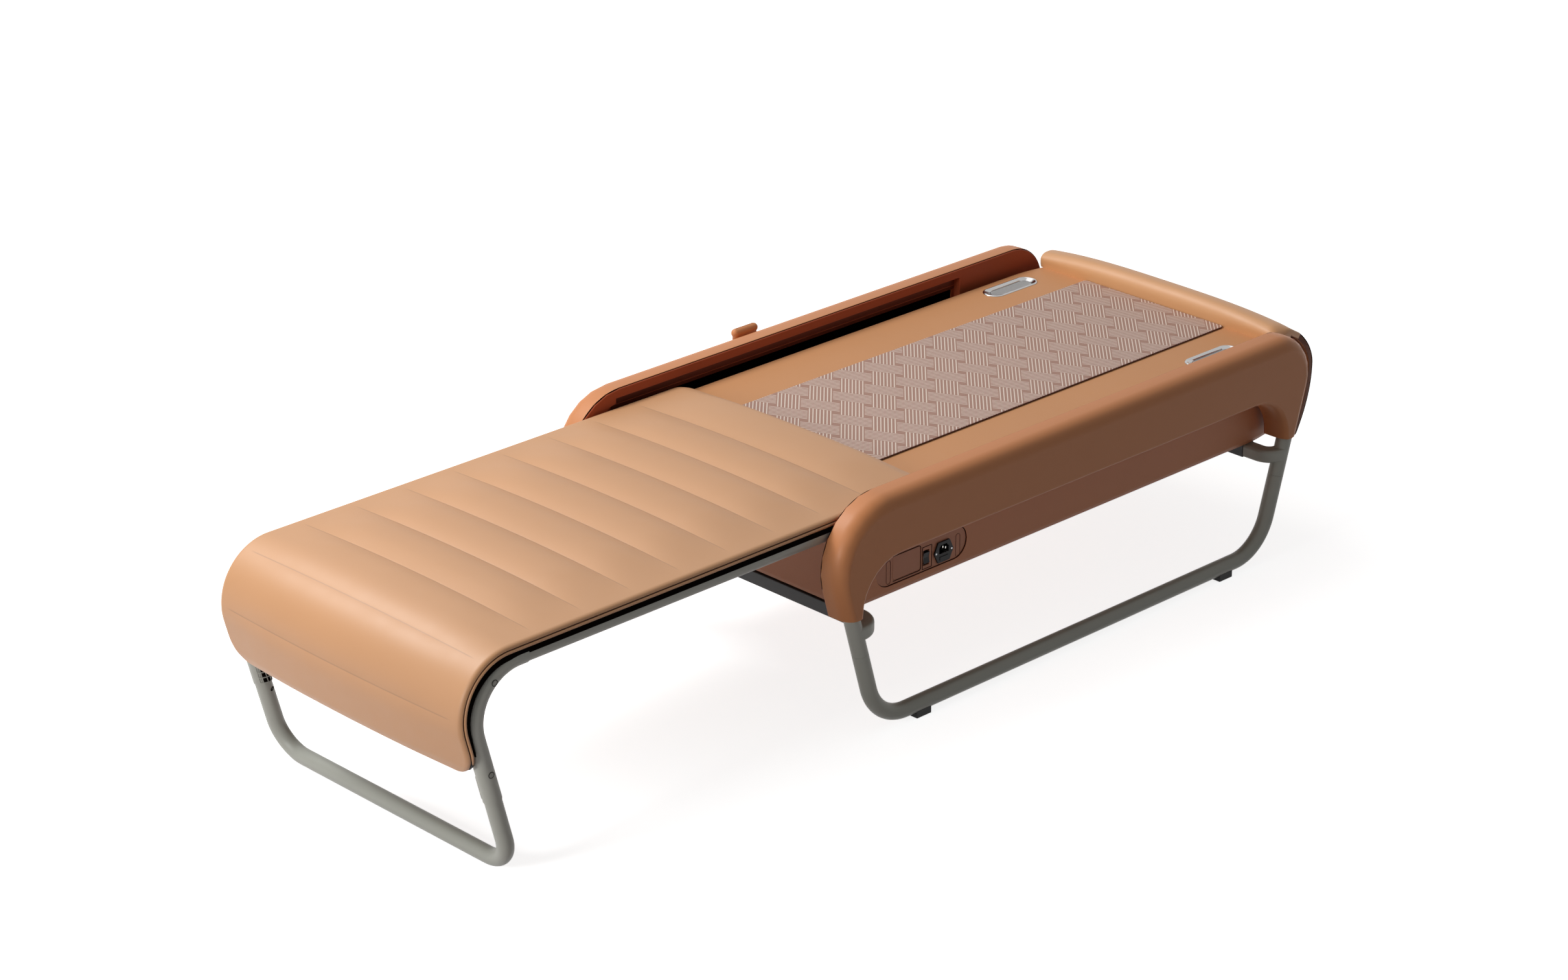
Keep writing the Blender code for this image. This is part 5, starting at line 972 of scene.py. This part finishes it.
def legMat():
    seams = []
    spot = pad["firstSeam"]
    while spot < matTotal - pad["pastFoot"]:
        seams.append(spot)
        spot += pad["pitch"]
    seams[-1] = seams[-2] + pad["lastPitch"]
    marks = [-pad["pastHead"]] + seams + [matTotal + pad["pastFoot"]]
    stations = [matTotal]
    for start, end in zip([0] + seams, seams + [matTotal]):
        for step in range(pad["steps"]):
            t = step / pad["steps"]
            stations.append(start + (end - start) * (t - pad["crowding"] * math.sin(2 * math.pi * t)))
    stations += [pad["corner"] * share for share in pad["headSteps"]]
    stations += [matTotal - pad["footCorner"] * share for share in pad["footSteps"]]
    section = padSection()
    rings, creaseShading = [], []
    for distance in sorted(stations):
        spot, normal = onMat(distance)
        # painted shade along each seam's crease, fading out before the rolled edges
        atSeam = math.exp(-((min(abs(distance - mark) for mark in seams) / pad["creaseShadeWidth"]) ** 2))
        nearEnd = min(distance, matTotal - distance)
        corner = pad["corner"] if distance < matTotal / 2 else pad["footCorner"]
        half = pad["half"] - corner * (1 - quarterRound(nearEnd / corner))
        endRise = math.sqrt(min(nearEnd / pad["corner"] * pad["endRise"], 1))
        endFade = pad["endLow"] + (1 - pad["endLow"]) * endRise
        puff = puffAt(distance, marks) * (1 - pad["calmLoss"] * ramp(distance, *pad["calm"]))
        ring, marked = [], []
        for share, part, crowned in section:
            height, mark = (pad["edge"] - pad["under"]) * part, 0
            if crowned:
                height += pad["crown"] * (1 - share**2) + puff * (1 - ease(abs(share), *pad["fade"]))
                mark = atSeam * (1 - ease(abs(share), *pad["creaseShadeFade"]))
            place = spot + normal * (pad["under"] + height * endFade)
            ring.append(Vector((place.x, share * half, place.y)) + bedShift)
            marked.append(mark)
        rings.append(ring)
        creaseShading.append(marked)
    piece = standIn("aux_pad", ringMesh(rings, False, creaseShading), "leg_mat_pad", tanLeather, sharp["soft"])
    return seams


def padPiping():
    # bead that closes the pad's lower edge, along both sides and across the foot
    out, start, level = pad["half"], bead["start"], bead["level"]
    length = matTotal - pad["footCorner"] - start
    run = []
    for step in range(bead["steps"] + 1):
        spot, normal = onMat(start + length * step / bead["steps"])
        place = spot + normal * level
        run.append(Vector((place.x, -out, place.y)))
    foot, normal = onMat(matTotal - bead["radius"])
    foot = foot + normal * level
    nearFoot, farFoot = Vector((foot.x, -out, foot.y)), Vector((foot.x, out, foot.y))
    near = run[:-1] + arcPoints(run[-2], nearFoot, farFoot, bead["bend"], bead["bendSteps"])
    far = [Vector((point.x, -point.y, point.z)) for point in reversed(near)]
    standIn("aux_piping", tube(near + far, bead["radius"], ring=4), "leg_mat_bead", tanLeather)


def boardLip(side):
    # black lip of the base board, hanging beside the frame tube and thinning to its end; partly the
    # board's own edge, partly a dark strip of painted shadow cast by the pad on the tube
    half = lip["thick"] / 2
    outline = roundedBox(-half, half, lip["low"], lip["high"], lip["round"], steps=3)
    length = matTotal - lip["start"] - lip["end"]
    rings = []
    for step in range(lip["steps"] + 1):
        distance = lip["start"] + length * step / lip["steps"]
        spot, normal = onMat(distance)
        tall = lip["tip"] + (1 - lip["tip"]) * min((matTotal - lip["end"] - distance) / lip["taper"], 1)
        ring = []
        for across, rise in outline:
            place = spot + normal * (lip["high"] + (rise - lip["high"]) * tall)
            ring.append(Vector((place.x, sides[side] * (pad["half"] + across), place.y)) + bedShift)
        rings.append(ring)
    keep(ringMesh(rings), "board_lip_" + side, darkTrimAndPaintedShade, "leg_mat", "black_plastic")


matLine = matPath()
matLengths = lengthsOf(matLine)
matTotal = matLengths[-1]
matSeams = legMat()
padPiping()
for side in sides:
    boardLip(side)
print("leg mat made:", len(matSeams), "seams")

# leg mat frame
auxFrame = {
    "out": 0.302,
    "top": 0.388,
    "radius": 0.015,
    "sleeve": 0.01625,
    "start": -1.269,
    "bend": 0.093,
    "joint": 0.153,
    "head": -0.361,
    "barBend": 0.060,
    "gap": 0.00015,
}
plug = {
    "places": ((-1.344, 0.366), (-1.3569, 0.2072)),
    "proud": 0.0004,
    "rim": ((0.0050, -0.0034), (0.0050, -0.0005), (0.0046, 0)),  # radius, and height over the plug's face
    "groove": ((0.0040, 0), (0.0037, -0.0008), (0.0032, -0.0008)),
    "middle": ((0.0029, -0.0001), (0.0006, -0.0001)),
    "gap": 0.0054,
    "gapRise": 0.0001,
    "gapLine": 0.0005,
}
clip = {
    "low": 0.1545,
    "rib": 0.0017,
    "cell": 0.0088,
    "rows": 4,
    "columns": 2,
    "ribTurn": 6,
    "ribReach": 0.6,
    "cellTurn": 43,
    "radius": 0.01635,
    "proud": 0.0011,
    "steps": 4,
}
legSlot = {
    "height": 0.1385,
    "turn": 20,
    "long": 0.0042,
    "wide": 0.0016,
    "lean": 0.5,
    "rise": 0.0001,
    "line": 0.0009,
}


def auxTubes():
    top, joint, gap, low = auxFrame["top"], auxFrame["joint"], auxFrame["gap"], auxFrame["radius"]
    for side in sides:
        out = sides[side] * auxFrame["out"]
        path = [Vector((auxFrame["start"] + gap, out, top)), Vector((auxFrame["head"], out, top))]
        standIn("aux_frame_tube_" + side, tube(path, low), "mat_rail_" + side, greyPaint)
        corners = [
            (auxFrame["start"] - gap, out, top, 0),
            (legX(top), out, top, auxFrame["bend"]),
            (legX(joint + gap), out, joint + gap, 0),
        ]
        sleeve = tube(bentPath(corners, steps=22), auxFrame["sleeve"])
        standIn("aux_tube_bend_" + side, sleeve, "mat_bend_" + side, greyPaint)
        plugs(side)
    out, bend = auxFrame["out"], auxFrame["barBend"]
    turns = ((joint, -out, 0), (low, -out, bend), (low, out, bend), (joint, out, 0))
    corners = [(legX(height), across, height, radius) for height, across, radius in turns]
    standIn("aux_foot_leg", tube(bentPath(corners, steps=20), low), "mat_foot_bar", greyPaint)


def plugs(side):
    # two screw plugs on the outer side of the bend, each in a dark ring
    face = auxFrame["out"] + auxFrame["sleeve"]
    bm = bmesh.new()
    for x, z in plug["places"]:
        loops = []
        for radius, rise in plug["rim"] + plug["groove"] + plug["middle"]:
            points = circle(x, sides[side] * (face + plug["proud"] + rise), z, radius, count=24)
            spots = [bm.verts.new(point + bedShift) for point in points]
            loops.append([bm.edges.new((spots[index - 1], spots[index])) for index in range(24)])
        for low, high in zip(loops, loops[1:]):
            bmesh.ops.bridge_loops(bm, edges=low + high)
        bmesh.ops.contextual_create(bm, geom=loops[0])
        bmesh.ops.contextual_create(bm, geom=loops[-1])
    bmesh.ops.recalc_face_normals(bm, faces=bm.faces)
    keep(bm, "mat_bend_plugs_" + side, greyPaint, "leg_mat", "warm_grey_paint", sharp["turned"])
    for index, (x, z) in enumerate(plug["places"]):
        points = circle(x, sides[side] * (face + plug["gapRise"]), z, plug["gap"], count=28)
        name = "plug_gap_" + side + "_" + str(index)
        line = tube(points, plug["gapLine"], ring=2, caps=False)
        keep(line, name, darkTrimAndPaintedShade, "leg_mat", "black_plastic")


def clipSpot(side, turn, height, radius):
    # a place on the round of the leg, turned from its inner side
    out = sides[side] * (auxFrame["out"] - radius * math.cos(turn))
    return Vector((legX(height) + radius * math.sin(turn), out, height)) + bedShift


def legClip(side):
    # open lattice wrapped on the inner side of the leg tube; its cells are faces painted near-black,
    # painted shade in the openings
    rib, cell, steps = clip["ribTurn"], clip["cellTurn"], clip["steps"]
    turns = []
    start = -rib * 1.5 - cell
    for column in range(clip["columns"]):
        turns += [start, *[start + rib + cell * step / steps for step in range(steps)]]
        start += rib + cell
    turns += [start, start + rib]
    heights = [clip["low"]]
    for row in range(clip["rows"]):
        heights += [heights[-1] + clip["rib"], heights[-1] + clip["rib"] + clip["cell"]]
    heights.append(heights[-1] + clip["rib"])
    bm = bmesh.new()
    columns, rows = len(turns) - 1, len(heights) - 1
    bmesh.ops.create_grid(bm, x_segments=columns, y_segments=rows, size=1)
    for vertex in bm.verts:
        turn = math.radians(turns[round((vertex.co.x + 1) / 2 * columns)])
        height = heights[round((vertex.co.y + 1) / 2 * rows)]
        vertex.co = clipSpot(side, turn, height, clip["radius"])
    ribs = []
    for face in bm.faces:
        middle = face.calc_center_median()
        depth = auxFrame["out"] - (middle.y - bedShift.y) * sides[side]
        turn = abs(math.degrees(math.atan2(middle.x - bedShift.x - legX(middle.z), depth)))
        level = (middle.z - clip["low"]) % (clip["rib"] + clip["cell"]) < clip["rib"]
        if level or min(turn, abs(turn - rib - cell)) < rib * clip["ribReach"]:
            ribs.append(face)
        else:
            # cells between the ribs: near-black painted shade
            face.material_index = 1
    raised = bmesh.ops.extrude_face_region(bm, geom=ribs)
    for vertex in [part for part in raised["geom"] if isinstance(part, bmesh.types.BMVert)]:
        axis = Vector((legX(vertex.co.z), sides[side] * auxFrame["out"], vertex.co.z)) + bedShift
        vertex.co += (vertex.co - axis).normalized() * clip["proud"]
    bmesh.ops.recalc_face_normals(bm, faces=bm.faces)
    piece = standIn("leg_clip_" + side, bm, "leg_lattice_" + side, greyPaint, sharp["turned"])
    piece.data.materials.append(darkTrimAndPaintedShade)


def slotLine(side):
    # dark oval round the slot under the lattice
    points = []
    for spot in circle(0, 0, 0, 1, count=16):
        along, across = legSlot["long"] * spot.x, legSlot["wide"] * spot.z
        height = legSlot["height"] + along * legSlot["lean"] + across
        turn = math.radians(legSlot["turn"]) + (along - across * legSlot["lean"]) / clip["radius"]
        points.append(clipSpot(side, turn, height, auxFrame["radius"] + legSlot["rise"]) - bedShift)
    oval = tube(points, legSlot["line"], ring=3, caps=False)
    keep(oval, "leg_slot_" + side, darkTrimAndPaintedShade, "leg_mat", "black_plastic")


auxTubes()
for side in sides:
    legClip(side)
    slotLine(side)
print("leg mat frame made")

# head pad
headPad = {
    "front": 0.6055,
    "out": 0.741,
    "seat": 0.4047,
    "rise": 0.0262,
    "tip": 0.191,
    "half": 0.289,
    "topHalf": 0.303,
    "corner": 0.006,
    "roll": {"near": 0.024, "far": 0.004},
    "rollLow": 0.22,
    "narrowing": (0.678, 0.702),
    "shoulder": (0.615, 0.668),  # where the rolled ends come back up behind the deck
    "deckEnd": 0.650,
    "skin": 0.011,
    "skinRows": (4, 8),
    "crown": 0.0138,
    "endRound": 0.004,
    "tuck": 0.55,
    "tuckRows": (1 / 15, 3),
    "piping": 0.0011,
    "pipingIn": 0.3,
    "pipingSunk": 0.0002,
    "capFrom": 0.684,
    "capFacing": 0.9,
    "columns": 60,
    "smoothing": 5,
}
# shares of the pad's length, of its rise over the deck and of its drop to the tip, and of the crown
headPadShares = (
    (0.0, 0.0, 0.0, 0.0),
    (0.0, 0.55, 0.0, 0.35),
    (0.044, 0.845, 0.0, 0.8),
    (0.133, 1.0, 0.0, 1.0),
    (0.295, 0.914, 0.0, 1.0),
    (0.469, 0.379, 0.0, 0.9),
    (0.675, 0.0, 0.028, 0.75),
    (0.860, 0.0, 0.145, 0.5),
    (0.970, 0.0, 0.271, 0.25),
    (1.0, 0.0, 0.387, 0.0),
    (0.970, 0.0, 0.583, 0.0),
    (0.874, 0.0, 0.793, 0.0),
    (0.727, 0.0, 0.986, 0.0),
    (0.683, 0.0, 1.0, 0.0),
)


def smoothLine(points, steps):
    # a curve through these points, with this many steps from each to the next
    made = []
    last = len(points) - 1
    for index in range(last):
        before, after = points[max(index - 1, 0)], points[min(index + 2, last)]
        for step in range(steps):
            t = step / steps
            spot = []
            for a, b, c, d in zip(before, points[index], points[index + 1], after):
                bow, twist = 2 * a - 5 * b + 4 * c - d, 3 * b - a - 3 * c + d
                spot.append((2 * b + (c - a) * t + bow * t**2 + twist * t**3) / 2)
            made.append(tuple(spot))
    return made + [points[-1]]


def headPadLine():
    length, drop = headPad["out"] - headPad["front"], headPad["seat"] - headPad["tip"]
    line = []
    for lengthShare, riseShare, dropShare, crownShare in headPadShares:
        x = headPad["front"] + length * lengthShare
        z = headPad["seat"] + headPad["rise"] * riseShare - drop * dropShare
        line.append((x, z, crownShare))
    return smoothLine(line, headPad["smoothing"])


def headPadHalf(x):
    # half width here: rounded in plan at the front, narrower behind the deck
    half = headPad["topHalf"] + (headPad["half"] - headPad["topHalf"]) * ease(x, *headPad["narrowing"])
    return half - headPad["corner"] * (1 - quarterRound((x - headPad["front"]) / headPad["corner"]))


def headPadPiece():
    line = headPadLine()
    last = len(line) - 1
    normals = []
    for index in range(last + 1):
        ahead, behind = line[min(index + 1, last)], line[max(index - 1, 0)]
        along = Vector((ahead[0] - behind[0], ahead[1] - behind[1])).normalized()
        normals.append(Vector((along.y, -along.x)))
    half, endRound, seat, low = headPad["half"], headPad["endRound"], headPad["seat"], headPad["rollLow"]
    skinStart, skinEnd = headPad["skinRows"]
    tuckStart, tuckEnd = headPad["tuckRows"]
    rings = []
    for column in range(headPad["columns"] + 1):
        share = -math.cos(math.pi * column / headPad["columns"])
        nearEnd = half * (1 - abs(share))
        tuck = endRound * headPad["tuck"] * (1 - quarterRound(nearEnd / endRound))
        crown = headPad["crown"] * (1 - abs(share) ** 3)
        rolled = low + (1 - low) * quarterRound(nearEnd / headPad["roll"]["near" if share < 0 else "far"])
        outer, inner = [], []
        for index, (x, z, weight) in enumerate(line):
            normal, across = normals[index], share * headPadHalf(x)
            tucked = tuck * min(1, index / last / tuckStart) * min(1, (last - index) / tuckEnd)
            top = z + crown * weight + normal.y * tucked
            kept = rolled + (1 - rolled) * ease(x, *headPad["shoulder"])
            if top > seat:
                top = seat + (top - seat) * kept
            outer.append(Vector((x + normal.x * tucked, across, top)))
            depth = headPad["skin"] * min(1, (last - index) / skinEnd) * min(1, index / skinStart)
            spot = Vector((x + normal.x * depth, across, z + normal.y * depth))
            if spot.x < headPad["deckEnd"]:
                spot.z = seat
            elif spot.z > seat:
                spot.z = seat + (spot.z - seat) * kept
            inner.append(spot)
        rings.append([spot + bedShift for spot in outer + inner[-2:0:-1]])
    bm = ringMesh(rings)
    cut = Vector((headPad["capFrom"], 0, 0)) + bedShift
    whole = bm.verts[:] + bm.edges[:] + bm.faces[:]
    bmesh.ops.bisect_plane(bm, geom=whole, plane_co=cut, plane_no=(1, 0, 0))
    piece = standIn("head_end_pad", bm, "head_end_cushion", padLeather, sharp["soft"])
    # the end faces take the darkened cap colour, own brown with painted shade
    piece.data.materials.append(capInPaintedShade)
    for face in piece.data.polygons:
        if abs(face.normal.y) > headPad["capFacing"] and face.center.x > cut.x:
            face.material_index = 1
    for side in sides:
        level = sides[side] * (half - endRound * headPad["pipingIn"])
        points = []
        for (x, z, weight), normal in zip(line, normals):
            if x > headPad["capFrom"]:
                sunk = normal * headPad["pipingSunk"]
                points.append(Vector((x - sunk.x, level, z - sunk.y)))
        piping = tube(points, headPad["piping"], ring=4)
        keep(piping, "head_cushion_piping_" + side, darkTrimAndPaintedShade, "bed", "tan_leather")


headPadPiece()
print("head pad made")

# inner pieces that keep their CAD shape
innerLooks = (
    (steel, ("base_pan", "carriage_rail_near", "carriage_rail_far", "massage_carriage", "lift_frame")),
    (steel, ("drive_pulley", "idler_pulley", "idler_bracket", "power_supply")),
    (stone, ("roller_pair_foot", "roller_pair_head")),
    (blackPlastic, ("drive_motor",)),
    (blackRubber, ("drive_belt",)),
    (circuit, ("control_board",)),
)
for look, group in innerLooks:
    for node in group:
        nodes[node].data.materials.clear()
        nodes[node].data.materials.append(look)
print("inner pieces painted")

# stage, light and camera
stage = {
    "floor": 40,
    "tone": 0.9,
    "bounce": (0.35, 0.30, 0.31),
    "lift": 0.82,
    "ambient": 0.14,
    "aim": (0, 0, 0.3),
}
lamps = {
    "key": {"from": (-0.40, 0.50, 0.72), "distance": 4.5, "size": 1.6, "power": 137},
    "fill": {"from": (-0.95, -0.02, 0.26), "distance": 4.5, "size": 1.0, "power": 62},
    "top": {"from": (0.10, 0.55, 1.0), "distance": 4.0, "size": 3.0, "power": 33},
}
view = {
    "place": (-4.58344, -4.6634, 3.125),
    "azimuth": -44.2,
    "elevation": 23.4,
    "focalPixels": 6100,
    "photoPixels": 2420,
    "sensor": 36,
}


def makeFloor():
    bm = bmesh.new()
    bmesh.ops.create_grid(bm, x_segments=1, y_segments=1, size=stage["floor"])
    floor = meshObject(bm, "studio_floor")
    finish = Finish("studio floor", Roughness=1.0, Specular_IOR_Level=0, Emission_Strength=1)
    seen, tone, lift = finish.seen(), stage["tone"], stage["lift"]
    finish.set("Base Color", finish.mix(seen, (*stage["bounce"], 1), (tone, tone, tone, 1)))
    finish.set("Emission Color", finish.mix(seen, (0, 0, 0, 1), (lift, lift, lift, 1)))
    floor.data.materials.append(finish.material)


def makeWorld():
    world = bpy.data.worlds.new("studio")
    world.use_nodes = True
    bpy.context.scene.world = world
    board = Board(world.node_tree)
    back = board.tree.nodes["Background"].inputs
    back["Color"].default_value = (1, 1, 1, 1)
    board.feed(back["Strength"], board.seen() * (1 - stage["ambient"]) + stage["ambient"])


def makeLamps():
    for name, values in lamps.items():
        data = bpy.data.lights.new(name, "AREA")
        data.shape = "SQUARE"
        data.size = values["size"]
        data.energy = values["power"]
        lamp = linked(name, data)
        toward = Vector(values["from"]).normalized()
        lamp.location = Vector(stage["aim"]) + toward * values["distance"]
        lamp.rotation_euler = toward.to_track_quat("Z", "Y").to_euler()


def makeCamera():
    data = bpy.data.cameras.new("photo view")
    data.lens = view["focalPixels"] / view["photoPixels"] * view["sensor"]
    data.sensor_width = view["sensor"]
    data.clip_end = 100
    camera = linked("photo view", data)
    turn, rise = math.radians(view["azimuth"]), math.radians(view["elevation"])
    back = Vector((math.sin(turn) * math.cos(rise), -math.cos(turn) * math.cos(rise), math.sin(rise)))
    camera.location = view["place"]
    camera.rotation_mode = "QUATERNION"
    camera.rotation_quaternion = (-back).to_track_quat("-Z", "Y")
    bpy.context.scene.camera = camera


makeFloor()
makeWorld()
makeLamps()
makeCamera()
bpy.context.scene.view_settings.view_transform = "Standard"
print("stage set")

bpy.context.view_layer.update()
